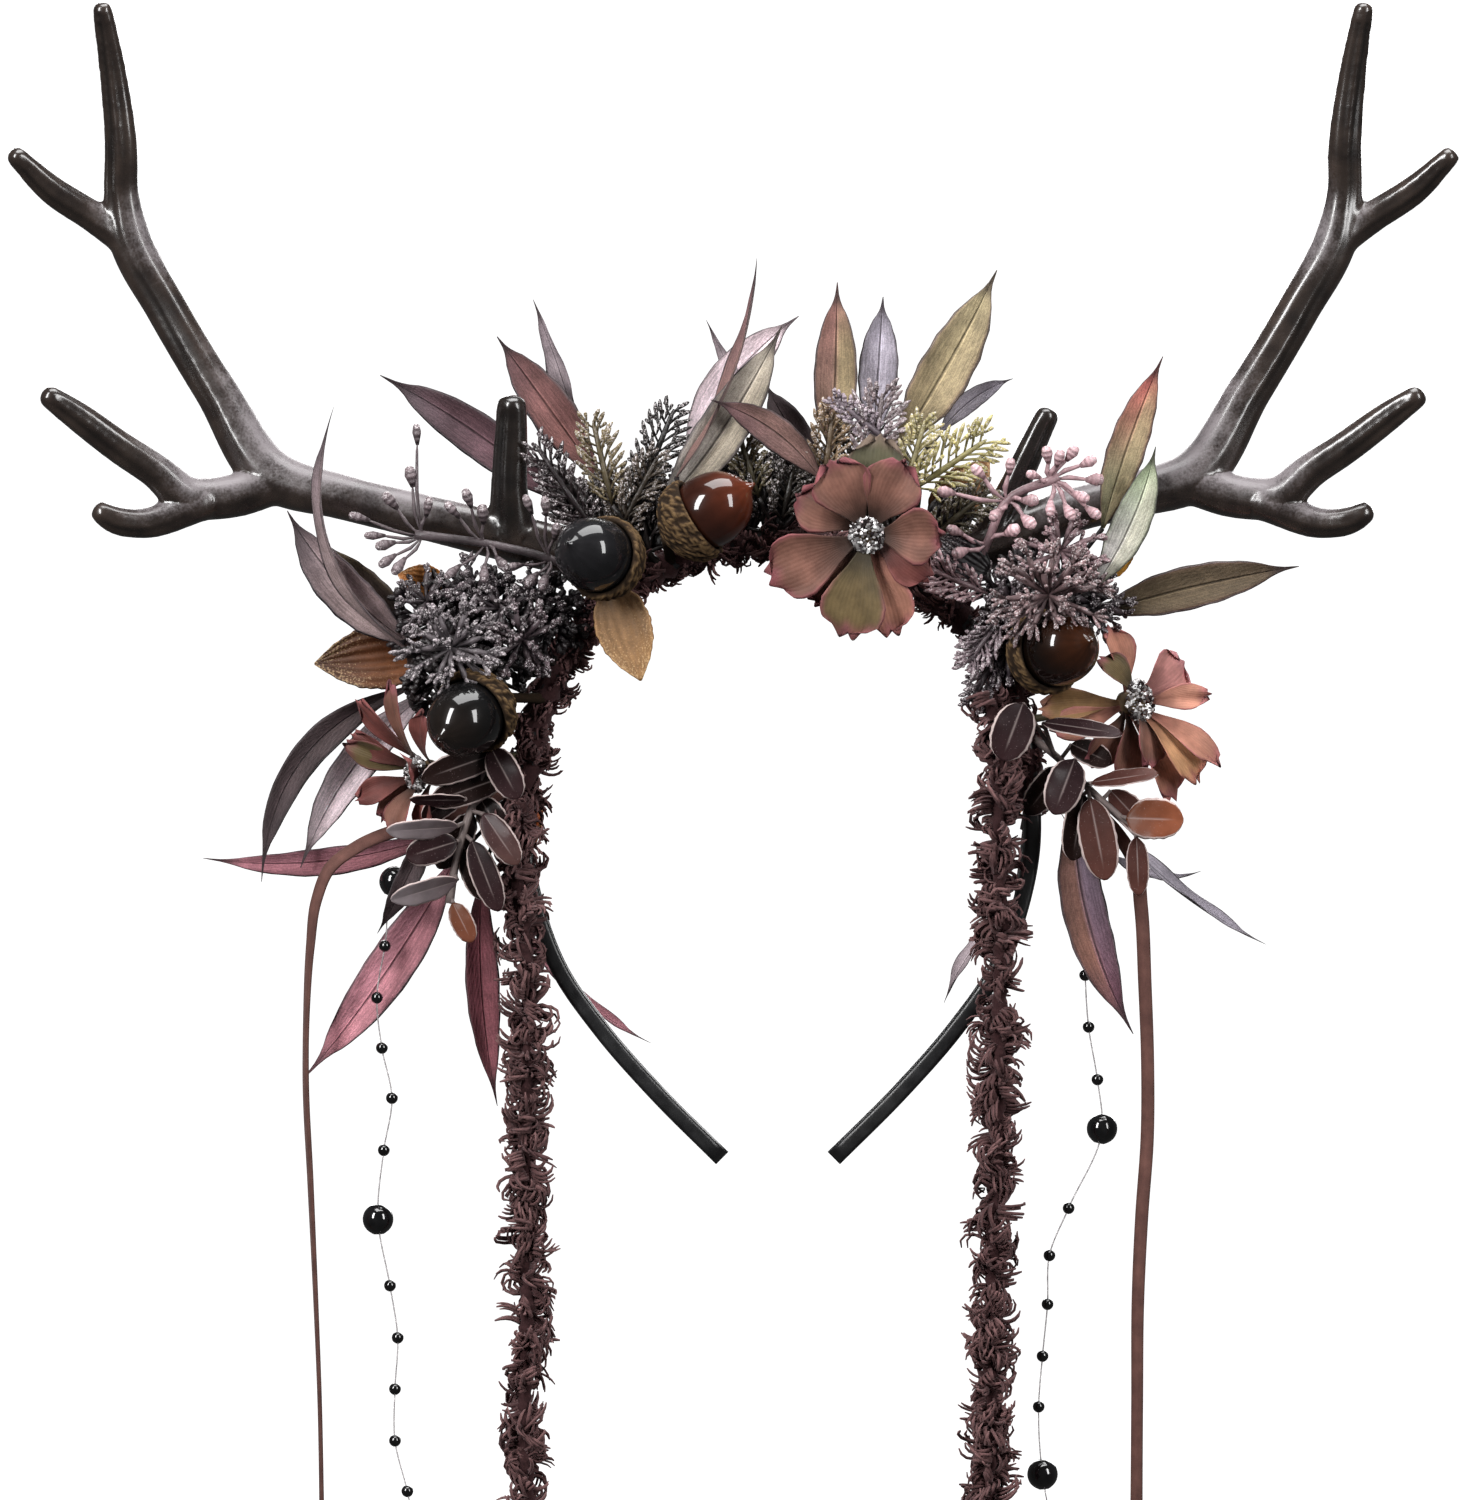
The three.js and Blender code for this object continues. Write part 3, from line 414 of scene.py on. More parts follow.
def lace():
    """Brown suede with a fine nap, cloudy wear and darker edges."""
    paint = Finish("lace", Specular_IOR_Level=0.25, Sheen_Weight=0.2, Sheen_Roughness=0.4)
    _, across, _ = paint.spot()
    cloud = paint.noise(240, 4)
    nap = paint.noise(5200, 2)
    base = paint.ramp(cloud * 0.6 + nap * 0.4, (0.32, "#4a2f2a"), (0.7, "#6f4b43"))
    return paint.feed(Base_Color=paint.scaled(base, 1.08 - across.size() * 0.3), Roughness=nap * 0.2 + 0.68,
                      Normal=paint.bump(nap, 0.00012, 0.7))


def leaf_cloth():
    """Printed cloth: a pressed middle rib darkened by painted shade, with a painted highlight as a light line
    beside it, fine slanted veins, streaks along the leaf, a foot darkened by painted shade, a margin darker
    than the middle, and pleats that show most on the underside."""
    paint = Finish("leaf_cloth", Specular_IOR_Level=0.22, Sheen_Weight=0.05, Sheen_Roughness=0.4)
    along, across, side = paint.spot()
    under = (0.0 - side).step(-0.2, 0.2)
    rib = across.falloff(0.04)
    line = (across - 0.085).falloff(0.035)
    edge = across.size().step(0.93, 1.0)
    vein = (along * 118 + across.size() * -26).wave()
    pleat = (across * 40).wave()
    cloud = paint.noise(120, 5, 0.65)
    grain = paint.noise(2600, 4, 0.7)
    way = paint.node("ShaderNodeCombineXYZ", None, {0: along * 5, 1: across * 26, 2: cloud * 5})
    streak = paint.noise(1.0, 4, 0.7, way)
    relief = under * pleat * 0.8 + vein * 0.15 - rib * 1.6 + streak * 0.5
    shade = (cloud.step(0.3, 0.7) * 0.55 + 0.8) * (grain.step(0.35, 0.65) * 0.4 + 0.78)
    # Painted shade in the pressed middle rib and a painted highlight on the light line beside it.
    shade = shade * (streak.step(0.32, 0.68) * 0.6 + 0.72) * (1.0 - rib * 0.6) * (1.0 + line * 0.5)
    shade = shade * (1.0 - under * (0.34 - pleat * 0.42)) * (vein * 0.06 + 0.97) * (1.0 - edge * 0.4)
    # Painted shade at the foot of the leaf; the margin is darker than the middle.
    shade = shade * (1.2 - across.size() * across.size() * 0.42) * (along.step(0.02, 0.34) * 0.36 + 0.68)
    base = paint.mix(under * 0.35, paint.tint(), "#8d8286")
    return paint.feed(Base_Color=paint.scaled(base, shade), Roughness=grain * 0.3 + 0.4,
                      Normal=paint.bump(relief + grain * 0.35, 0.0003, 0.9))


def petal_cloth():
    """Satin cloth: fine veins that fan out from the petal's foot, a mottled print, a pale cut edge."""
    paint = Finish("petal_cloth", Specular_IOR_Level=0.22, Sheen_Weight=0.12, Sheen_Roughness=0.35,
                   Sheen_Tint=(0.9, 0.7, 0.68, 1))
    _, across, _ = paint.spot()
    vein = (across * 46).wave()
    cloud = paint.noise(170, 4)
    thread = paint.noise(6000, 2)
    cut = across.size().step(0.965, 1.0)
    shade = (cloud.step(0.3, 0.7) * 0.5 + 0.72) * (vein * 0.08 + 0.95) * (thread * 0.3 + 0.85) + cut * 0.4
    return paint.feed(Base_Color=paint.scaled(paint.tint(), shade), Roughness=cloud * 0.2 + 0.5,
                      Normal=paint.bump(vein * 0.14 + cloud * 1.2 + thread * 0.12, 0.0003, 0.8))


def glitter():
    """Silver-pink chips, each with its own tint and shine."""
    paint = Finish("glitter", Metallic=0.55, Specular_IOR_Level=0.8)
    _, _, chip = paint.spot()
    return paint.feed(Base_Color=paint.scaled(paint.tint(), chip * chip * 1.1 + 0.14),
                      Roughness=chip * 0.35 + 0.14)


def nut_lacquer():
    """Deep lacquer over the nut's own tint, cloudy and streaked along it."""
    paint = Finish("nut_lacquer", Coat_Weight=1.0, Coat_Roughness=0.035, Specular_IOR_Level=0.06)
    _, turn, _ = paint.spot()
    cloud = paint.noise(190, 4)
    grain = (turn * 90 + cloud * 9).wave()
    return paint.feed(Base_Color=paint.scaled(paint.tint(), cloud * 0.8 + 0.5 + grain * 0.16),
                      Roughness=cloud * 0.2 + 0.22, Normal=paint.bump(cloud, 0.00004))


def cap_wood():
    """Dry tan cap: tan on the crests of its scales and near-black between them, where painted shade falls."""
    paint = Finish("cap_wood", Specular_IOR_Level=0.2)
    _, _, crest = paint.spot()
    cloud = paint.noise(520, 4)
    fibre = paint.noise(3600, 3)
    # Painted shade: the lower the relief between the scales, the darker the cap.
    base = paint.ramp(crest * 0.72 + fibre * 0.34, (0.0, "#120c07"), (0.42, "#3a2b1d"), (1.0, "#806645"))
    return paint.feed(Base_Color=paint.scaled(base, cloud * 0.7 + 0.62), Roughness=0.95 - crest * 0.2,
                      Normal=paint.bump(fibre, 0.0002, 0.8))


def husk():
    """Dry bract: fine ribs along it with painted light and shade in stripes on them, mottled, flaking to a
    paler skin near the tip.
    """
    paint = Finish("husk", Specular_IOR_Level=0.4)
    along, across, _ = paint.spot()
    rib = (across * 20).wave()
    cloud = paint.noise(260, 4)
    speck = paint.noise(1900, 4, 0.7)
    flake = (speck + along * 0.22 + across.size() * 0.12).step(0.76, 0.84)
    # Painted light and shade: lighter and darker stripes follow the ribs.
    shade = (rib * 0.14 + 0.9) * (cloud * 1.0 + 0.5) * (speck * 1.1 + 0.45) * (1.08 - along * 0.2)
    base = paint.mix(flake * 0.55, paint.scaled(paint.tint(), shade), "#e0bf92")
    return paint.feed(Base_Color=base, Roughness=speck * 0.3 + 0.32,
                      Normal=paint.bump(rib * 0.12 + speck * 0.6, 0.0004, 0.9))


def spray_plastic():
    """Moulded sprig: beaded along each finger with a painted highlight on each bead, darker at the root as
    painted shade, with bright specks near the tips that are partly frost and partly painted glints.
    """
    paint = Finish("spray_plastic", Specular_IOR_Level=0.5)
    along, _, _ = paint.spot()
    cloud = paint.noise(700, 3)
    speck = paint.noise(2300, 2)
    bead = (along * 34).wave()
    # Frost together with painted glints: bright specks near the tips.
    frost_and_glint = speck.step(0.55, 0.61) * along.step(0.4, 0.75)
    # Painted shade towards the root and a painted highlight on each bead.
    base = paint.scaled(paint.tint(), (along * 0.9 + 0.5) * (cloud * 1.3 + 0.4) + bead * 0.15)
    return paint.feed(Base_Color=paint.mix(frost_and_glint * 0.85, base, "#e2dadb"), Roughness=speck * 0.3 + 0.26,
                      Normal=paint.bump(bead * 0.7 + speck * 0.4, 0.0004, 0.9))


def boxwood_leaf():
    """Glossy purple-brown leaf with a pale rim, a light middle line and pinprick specks."""
    paint = Finish("boxwood_leaf", Coat_Roughness=0.18, Specular_IOR_Level=0.1)
    along, across, _ = paint.spot()
    rim = across.size().step(0.86, 0.93)
    rib = across.falloff(0.05) * (1.0 - along.step(0.55, 0.9))
    cloud = paint.noise(300, 3)
    speck = paint.noise(2600, 2).step(0.66, 0.72)
    base = paint.scaled(paint.tint(), cloud * 0.7 + 0.66)
    base = paint.mix(rim * 0.9 + rib * 0.22, base, "#d3c0bc")
    return paint.feed(Base_Color=paint.mix(speck * 0.22, base, "#b7a2a0"), Roughness=cloud * 0.2 + 0.34,
                      Coat_Weight=0.08 - rim * 0.06, Normal=paint.bump(cloud * 0.6 - rib * 0.5, 0.00018, 0.7))


def bead():
    """Polished black glass with a faint cloud in its depth."""
    paint = Finish("bead", Specular_IOR_Level=0.6, Coat_Weight=0.6, Coat_Roughness=0.03)
    cloud = paint.noise(420, 3)
    return paint.feed(Base_Color=paint.ramp(cloud, (0.3, "#050506"), (0.8, "#171718")),
                      Roughness=cloud * 0.1 + 0.05)


def thread():
    """Clear thin thread with small drawn marks."""
    paint = Finish("thread", Transmission_Weight=0.6, IOR=1.4, Specular_IOR_Level=0.5)
    cloud = paint.noise(900, 2)
    return paint.feed(Base_Color=paint.ramp(cloud, (0.3, "#8f8b8c"), (0.8, "#d9d6d6")),
                      Roughness=cloud * 0.2 + 0.15)


# The camera.
lens = bpy.data.cameras.new("camera")
lens.sensor_width = CAMERA["sensor"]
lens.lens = CAMERA["sensor"] * CAMERA["distance"] / CAMERA["frame"]
lens.clip_end = CAMERA["far"]
camera = placed("camera", lens)
camera.location = np.array((CAMERA["x"], -CAMERA["distance"], CAMERA["z"])) * MM
camera.rotation_euler = (np.pi / 2, 0, 0)
bpy.context.scene.camera = camera

# The hanging yarn: a knobbly core with curled loops all round it, longer and shorter by turns.
YARN = {"core": 1.9, "coreSides": 14, "radius": 6.2, "steps": 220, "loop": 9.6, "longest": 7.2,
        "loopRadius": 0.46, "loopSides": 3, "stout": 1.1, "sunk": 0.8, "loopsPerMm": 9, "fan": 5,
        "spread": 1.5, "lumpy": 0.6, "dark": "#392425", "light": "#826160"}
LOOP_TAPER = np.array([1.3, 1.15, 1.0, 0.95, 0.85, 0.45])
LUMPS = (9.0, 5.2, 15.0)
YARN_LINES = {
    "yarn_strand_left": [
        (-66.5, -11.8, -62.8), (-68, -12, -76), (-66, -12.5, -96), (-64.6, -12, -115), (-65, -12, -135),
        (-65.3, -12, -156), (-65, -12, -178), (-65, -12, -198), (-65.8, -12, -218), (-65.5, -12, -234),
        (-64, -12, -250)],
    "yarn_strand_right": [
        (54.5, -11.2, -34), (56.5, -12.8, -46), (57, -14, -62), (57, -13, -80), (57.6, -12.5, -99),
        (57.2, -12, -117), (57, -12, -135), (56.7, -12, -153), (55.6, -12, -172), (55.6, -12, -190),
        (55, -12, -208), (54.6, -12, -226), (55.4, -12, -250)],
}
LACE = {"width": 3.8, "thickness": 1.2, "edge": 0.7, "sides": 16, "steps": 160}
LACES = {
    "lace_left": [
        (-71.2, -5, -60), (-80, -6.5, -65), (-90, -8, -68.5), (-99.6, -10, -70.5), (-109, -12, -74.5),
        (-116, -13, -80), (-119.5, -13, -88.5), (-121, -13, -100), (-122, -13, -117), (-122.2, -13, -135),
        (-121, -13, -161), (-119.6, -13, -192), (-118.6, -13, -218), (-118, -13, -250)],
    "lace_right": [
        (69.4, -4.6, -57.4), (79, -7, -63), (87, -8.5, -70), (92.5, -9, -79), (94, -9, -90), (95, -9, -110),
        (95.7, -9, -130), (95.6, -9, -150), (94.2, -9, -170), (93.2, -9, -192), (93, -9, -218),
        (92.8, -9, -250)],
}
LACE_TURN = {"lace_left": 78, "lace_right": 36}


def lumps(at, dice):
    """A wandering value round 0 along a line: three sines of set lengths with random starts."""
    starts = dice.uniform(0, 2 * np.pi, len(LUMPS))
    return sum(np.sin(2 * np.pi * at / length + start) for length, start in zip(LUMPS, starts)) / len(LUMPS)


def loops(skin, line, count, core, squash, reach, radius, dice):
    """Curled loops round a line, in fans of a few side by side that share a turn and a curl. Each loop leaves
    the core, and its heading is a start angle plus a curl times a power of the share of its length; the
    steps of that heading are summed up."""
    way, u, v = frames(line)
    run = length_of(line) / (len(line) - 1)
    many = YARN["fan"]
    fans = count // many
    rank = np.tile(np.linspace(-1, 1, many), fans)

    def shared(values):
        return np.repeat(values, many)

    def wander(fan, own):
        return (shared(dice.normal(0, fan, fans)) + dice.normal(0, own, len(rank)))[:, None]

    def summed(parts):
        return np.cumsum(parts, 1) - parts

    at = dice.uniform(0, len(line) - 1, fans)
    place = np.clip(shared(at) + rank * YARN["spread"] / run, 0, len(line) - 1)
    pick = np.rint(place).astype(int)
    turn = (shared(dice.uniform(0, 2 * np.pi, fans)) + rank * shared(dice.normal(0, 0.5, fans)))[:, None]
    centre = np.stack([np.interp(place, np.arange(len(line)), line[:, i]) for i in range(3)], 1)
    out = unit(turned_by(u[pick], v[pick] * squash, turn))
    foot = u[pick] * np.cos(turn) * core + v[pick] * core * squash * np.sin(turn)
    lean = wander(0.8, 0.15)
    hand = shared(dice.choice([-1, 1], fans))[:, None]
    slide = unit(turned_by(way[pick] * hand, np.cross(way[pick], out), lean))
    share = np.linspace(0, 1, len(LOOP_TAPER))
    curl = (shared(dice.uniform(0.8, 4.4, fans)) * dice.uniform(0.75, 1.25, len(place)))[:, None]
    heading = wander(0.4, 0.15) + curl * share**1.3
    size = reach * (1 + YARN["lumpy"] * lumps(at * run, dice)) * dice.uniform(0.45, 1.15, fans)
    size = shared(size) * dice.uniform(0.8, 1.1, len(place))
    step = (size / (len(share) - 1))[:, None]
    rise, drift = summed(np.cos(heading) * step), summed(np.sin(heading) * step)
    fit = np.minimum(1, YARN["longest"] / np.hypot(rise, drift).max(1))[:, None]
    rise, drift = (rise * fit)[..., None], (drift * fit)[..., None]
    path = (centre + foot * YARN["sunk"])[:, None] + out[:, None] * rise + slide[:, None] * drift
    thick = radius * LOOP_TAPER * dice.uniform(0.75, 1.25, len(place))[:, None]
    rings = tube(path, thick * YARN["stout"], YARN["loopSides"], reference=np.cross(out, slide)[:, None])
    tone = (shared(dice.uniform(0.1, 0.8, fans)) + dice.uniform(0, 0.2, len(place)))[:, None]
    # Painted shade: each loop's tone is darker near the core and lighter towards its free end.
    tone = tone * (0.4 + 0.6 * share)
    tint = blend(colour(YARN["dark"]), colour(YARN["light"]), tone)
    skin.loft(rings, spot=places(share, 0.0, tone)[:, :, None], tint=tint[:, :, None])


def yarn_core(skin, line, radius, squash, dice):
    """A knobbly cord: the radius swells with two sines along it that wind round it as they go."""
    rings = tube(line, radius, YARN["coreSides"], squash)
    at = np.linspace(0, length_of(line), len(line))[:, None]
    turn = turns(YARN["coreSides"])
    swell = 1 + 0.16 * np.sin(at * 1.9 + turn) + 0.1 * np.sin(at * 0.83 - 2 * turn + dice.uniform(0, 6))
    rings = line[:, None] + (rings - line[:, None]) * swell[..., None]
    skin.loft(rings, tint=colour(YARN["dark"]))


def yarn_strand(node, knots, seed):
    """One hanging end: the core and its loops in one skin."""
    dice = np.random.default_rng(seed)
    line = spline(knots, YARN["steps"])
    skin = Skin()
    yarn_core(skin, line, YARN["core"], 1.0, dice)
    loops(skin, line[1:-1], int(length_of(line) * YARN["loopsPerMm"]), YARN["core"], 1.0, YARN["loop"],
          YARN["loopRadius"], dice)
    strand = skin.piece(node, "yarn", WOOL)


def lace_strip(node, knots):
    """A flat lace: a section with rounded edges, carried along the line and turned by the lace's own
    angle, with a slow twist that grows down the line."""
    line = spline(knots, LACE["steps"])
    way, u, v = frames(line)
    turn = turns(LACE["sides"])
    flat, thin = squarish(np.cos(turn), LACE["edge"]), squarish(np.sin(turn), LACE["edge"])
    share = np.linspace(0, 1, len(line))
    angle = np.radians(LACE_TURN[node]) * (0.25 + 0.75 * ease(0.15, 0.45, share)) + 0.12 * np.sin(share * 9)
    wide = turned_by(u, v, angle[:, None])
    deep = np.cross(way, wide)
    rings = (line[:, None] + wide[:, None] * (flat * LACE["width"] / 2)[:, None]
             + deep[:, None] * (thin * LACE["thickness"] / 2)[:, None])
    strip = Skin().loft(rings, spot=places(share[:, None], flat, 0.0)).piece(node, "lace", SUEDE)


WOOL, SUEDE = yarn(), lace()
for seed, (node, knots) in enumerate(YARN_LINES.items(), 11):
    yarn_strand(node, knots, seed)
for node, knots in LACES.items():
    lace_strip(node, knots)

# The hair hoop and the yarn wound on its upper arch.
HOOP = {"width": 9.0, "thickness": 4.6, "edge": 0.45, "groove": 0.5, "grooveAt": 0.3, "grooveWidth": 0.5,
        "face": 0.4, "end": 0.04, "sides": 40, "steps": 240}
HOOP_HALF = [(26, 0), (47, -14), (60, -34), (65.5, -58), (66, -74), (63, -90), (57, -106), (46, -122),
             (32, -138), (14.5, -155.5)]
HOOP_TOP = 5
WRAP = {"depth": 5.4, "height": 3.7, "lowest": -65, "loop": 5.0, "loopRadius": 0.4, "loopsPerMm": 12.5,
        "seed": 5}
hoop_line = spline([(-x, 0, z) for x, z in reversed(HOOP_HALF)] + [(0, 0, HOOP_TOP)]
                   + [(x, 0, z) for x, z in HOOP_HALF], HOOP["steps"])


def headband():
    """A flat band: a section that is a rounded rectangle with two shallow grooves on either face, carried
    along the hoop and rounded off at its two ends."""
    turn = turns(HOOP["sides"])
    across = squarish(np.sin(turn), HOOP["edge"]) * HOOP["width"] / 2
    out = squarish(np.cos(turn), HOOP["edge"]) * HOOP["thickness"] / 2
    groove = bell(np.abs(across) - HOOP["width"] * HOOP["grooveAt"], HOOP["grooveWidth"]) * HOOP["groove"]
    out = out - np.sign(out) * groove * (np.abs(out) > HOOP["thickness"] * HOOP["face"])
    run = np.linspace(0, length_of(hoop_line), len(hoop_line))
    nearest = np.minimum(run, run[-1] - run) / (HOOP["width"] / 2)
    round_off = np.sqrt(np.clip(1 - (1 - np.clip(nearest, 0, 1)) ** 2, HOOP["end"], 1))[:, None, None]
    _, u, v = frames(hoop_line)
    rings = hoop_line[:, None] + u[:, None] * out[:, None] + v[:, None] * across[:, None] * round_off
    Skin().loft(rings).piece("headband", "hoop_plastic", hoop_plastic())


def band_wrap():
    """The same wool wound on the arch: a flattened core with short loops all over it."""
    dice = np.random.default_rng(WRAP["seed"])
    line = hoop_line[hoop_line[:, 2] > WRAP["lowest"]]
    skin = Skin()
    squash = WRAP["depth"] / WRAP["height"]
    yarn_core(skin, line, WRAP["height"], squash, dice)
    loops(skin, line, int(length_of(line) * WRAP["loopsPerMm"]), WRAP["height"], squash, WRAP["loop"],
          WRAP["loopRadius"], dice)
    skin.piece("band_wrap", "yarn", WOOL)


headband()
band_wrap()

# The antlers: limbs by their knots and radius; the pair mirrors about a plane left of the hoop's middle.
PAIR_MIDDLE = -11.7
LIMBS = {
    "main": [(119.6, 5, 21.8, 6.4), (134.7, 8, 44.2, 5.5), (147.7, 10, 65.8, 5.3), (157.6, 10, 84.6, 5.3),
             (159.6, 9, 96.2, 4.4), (159.4, 6, 106.6, 4.2), (161.2, 2, 126.1, 3.4), (163.8, -4, 143.6, 2.4)],
    "outer_tine": [(155.5, 10, 82, 4.6), (166.7, 10, 89.7, 4), (177.6, 8, 96.7, 3.7), (187.2, 4, 105.8, 2.4)],
    "lower": [(118, 5, 21, 5.6), (130.8, 3, 16.6, 5.4), (141.6, 0, 16.4, 5.1), (150, -3, 23.2, 4.4),
              (158.4, -5, 28.8, 4.2), (169.8, -9, 37.2, 3.7), (177.6, -12, 42.6, 2.7)],
    "short_tine": [(138, 0, 15, 4.6), (154.2, -3, 9.4, 3.7), (160.7, -5, 10.4, 3.4), (164.8, -6, 12.8, 2.5)],
}
BEAMS = {
    "left": [(-37, -1, -2.5, 6), (-54, 0, 2, 6), (-69.7, 0, 5.8, 6.2), (-85.3, 0, 9.6, 5.8),
             (-98.3, 1, 12.7, 5.6), (-114, 2, 16.6, 5.6)],
    "right": [(37, -1, -2.5, 6), (49, 0, 1.5, 6), (57.7, 0, 5, 6), (73.3, 1, 11.8, 5.6),
              (90.5, 2, 16.6, 5.6)],
}
FRONT_TINES = {
    "left": [(-68.8, 0, 5, 6.6), (-69.8, -4, 17, 4.7), (-69.4, -6, 30, 4.2), (-69, -8, 41, 3.6)],
    "right": [(55, 0, 4, 6), (60.5, -2, 17, 4), (65.5, -3, 28, 3.4), (70.2, -4, 38.2, 2.8)],
}
ANTLER = {"voxel": 0.7, "smooth": 15, "groove": 0.9, "worn": 0.6, "swell": 0.35, "sides": 36, "steps": 90,
          "atOnce": 16}
TIP = {"past": 0.35, "steps": 8, "round": 0.9, "least": 0.2}
# Grey dust and a painted sheen from above gather at these places within a reach, and the dust wears the
# grooves there. They stay off the front tine, and come back between two distances from the tine's outer part.
FORKS = [(122, 5, 24, 31), (108, 3, 16, 24), (88, 1, 9, 24), (157, 10, 84, 14), (143, 0, 17, 17)]
CLEAN = {"from": 24, "step": 6, "near": 5, "far": 11}
# Grooves along a limb: a sharp one and a broad one, each at a height that sways along the limb.
GROOVES = rows("height sway rate start width depth", [
    (-0.5, 0.1, 0.07, 0, 0.27, 0.95),
    (0.14, 0.12, 0.05, 1, 0.3, 0.6),
])


def limb(skin, knots):
    """A limb: rings along a line through the knots, whose radius falls off late at the far end, which
    leaves it blunt. It gives back the line with its radius, the way left to the tip and the way run."""
    line = spline(knots, ANTLER["steps"])
    end = line[-1].copy()
    end[:3] += unit(line[-1, :3] - line[-2, :3]) * end[3] * TIP["past"]
    line = np.concatenate([line, spline([line[-1], end], TIP["steps"])[1:]])
    centre, radius = line[:, :3], line[:, 3].copy()
    run = run_of(centre)
    left = (run[-1] - run) / (radius[-1] * TIP["round"])
    radius *= np.clip(1 - (1 - np.clip(left, 0, 1)) ** 4, TIP["least"], 1) ** 0.4
    skin.loft(tube(centre, radius, ANTLER["sides"]))
    return np.column_stack([centre, line[:, 3], run[-1] - run, run])


def grooves(points, lines, sign):
    """How deep a groove lies at each point, 0 to 1, and how high on its limb the point lies, -1 to 1. From
    the nearest limb's line, the height is the way off it in the antler's own plane, upper side positive, in
    radii; each groove is a bell curve round one wandering height."""
    deep, high, least = np.zeros(len(points)), np.zeros(len(points)), np.full(len(points), np.inf)
    for line in lines:
        gap = np.full(len(points), np.inf)
        near = np.zeros(len(points), int)
        for start in range(0, len(line), ANTLER["atOnce"]):
            apart = ((points[:, None] - line[None, start:start + ANTLER["atOnce"], :3]) ** 2).sum(2)
            best = apart.argmin(1)
            closer = apart.min(1) < gap
            near[closer] = best[closer] + start
            gap[closer] = apart.min(1)[closer]
        gap = np.sqrt(gap) / line[near, 3]
        _, u, _ = frames(line[:, :3])
        up = -sign * ((points - line[near, :3]) * u[near]).sum(1) / line[near, 3]
        run, left = line[near, 5], line[near, 4]
        fade = ease(1, 6, left) * ease(2, 10, run)
        own = 0
        for row in GROOVES:
            sway = row["sway"] * np.sin(run * row["rate"] + row["start"])
            own = own + row["depth"] * bell(up - row["height"] + sway, row["width"])
        own = own * fade
        deep = np.where(gap < least, own, deep)
        high = np.where(gap < least, up, high)
        least = np.minimum(least, gap)
    return deep, high


def fused(mesh, voxel, smooth):
    """A mesh whose overlapping parts are made one skin by a voxel remesh, then smoothed."""
    raw = placed("raw", mesh)
    remesh = raw.modifiers.new("one", "REMESH")
    remesh.mode, remesh.voxel_size = "VOXEL", voxel * MM
    relax = raw.modifiers.new("soft", "SMOOTH")
    relax.factor, relax.iterations = 0.5, smooth
    made = bpy.data.meshes.new_from_object(raw.evaluated_get(bpy.context.evaluated_depsgraph_get()))
    bpy.data.objects.remove(raw)
    return made


def antler(side):
    """One antler: its limbs fused into one skin, with grey dust and a painted sheen on the faces that look
    up, most at the forks and not on the front tine."""
    sign = -1 if side == "left" else 1

    def mirrored(table):
        return [(PAIR_MIDDLE + sign * x, y, z, last) for x, y, z, last in table]

    limbs = {name: mirrored(knots) for name, knots in LIMBS.items()}
    skin = Skin()
    lines = [limb(skin, BEAMS[side] + limbs.pop("main"))]
    lines += [limb(skin, knots) for knots in (*limbs.values(), FRONT_TINES[side])]
    made = fused(skin.mesh("raw"), ANTLER["voxel"], ANTLER["smooth"])
    made.name = f"antler_{side}_look"
    for name in {"spot", "tint"} & set(made.attributes.keys()):
        made.attributes.remove(made.attributes[name])
    count = len(made.vertices)
    points, normals = np.zeros(count * 3, np.float32), np.zeros(count * 3, np.float32)
    made.vertices.foreach_get("co", points)
    made.vertex_normals.foreach_get("vector", normals)
    points, normals = points.reshape(-1, 3) / MM, normals.reshape(-1, 3)
    forks = np.array(mirrored(FORKS))
    near = bell(np.linalg.norm(points[:, None] - forks[:, :3], axis=2), forks[:, 3]).max(1)
    tine = lines[-1][None, CLEAN["from"]::CLEAN["step"], :3]
    clean = 1 - ease(CLEAN["near"], CLEAN["far"], np.linalg.norm(points[:, None] - tine, axis=2).min(1))
    near = near * (1 - clean)
    deep, high = grooves(points, lines, sign)
    shallow = deep * (1 - ANTLER["worn"] * near)
    points = points + normals * (ANTLER["swell"] - shallow * ANTLER["groove"])[:, None]
    made.vertices.foreach_set("co", packed(points * MM))
    # Painted sheen mixed with real dust: faces that look up and the upper side of each limb get more grey
    # mauve, as if lit from above, most at the forks, and less in the grooves.
    dust_and_sheen = np.clip(0.5 + 0.35 * normals[:, 2] + 0.3 * high, 0, 1) * (0.04 + near) * (1 - 0.35 * deep)
    mark(made, np.stack([dust_and_sheen, shallow, clean], 1), np.ones((count, 3)))
    made.update()
    made.polygons.foreach_set("use_smooth", np.ones(len(made.polygons), bool))
    piece_of(made, [f"antler_{side}"], [LACQUER])


LACQUER = antler_plastic()
antler("left")
antler("right")

# Leaf outlines: the share of the full width at each share of the length.
OUTLINES = {
    "willow": ((0, 0.05, 0.14, 0.28, 0.42, 0.58, 0.72, 0.82, 0.88, 0.93, 1),
               (0.1, 0.22, 0.52, 0.88, 1, 0.95, 0.74, 0.46, 0.2, 0.09, 0.02)),
    "oval": ((0, 0.05, 0.15, 0.32, 0.5, 0.7, 0.86, 0.95, 1),
             (0.12, 0.42, 0.74, 0.96, 1, 0.95, 0.74, 0.46, 0.1)),
    "husk": ((0, 0.06, 0.2, 0.42, 0.62, 0.8, 0.92, 1), (0.25, 0.55, 0.86, 1, 0.9, 0.58, 0.26, 0.04)),
    "petal": ((0, 0.1, 0.25, 0.45, 0.65, 0.8, 0.92, 1), (0.14, 0.22, 0.42, 0.76, 1, 1, 0.9, 0.62)),
}
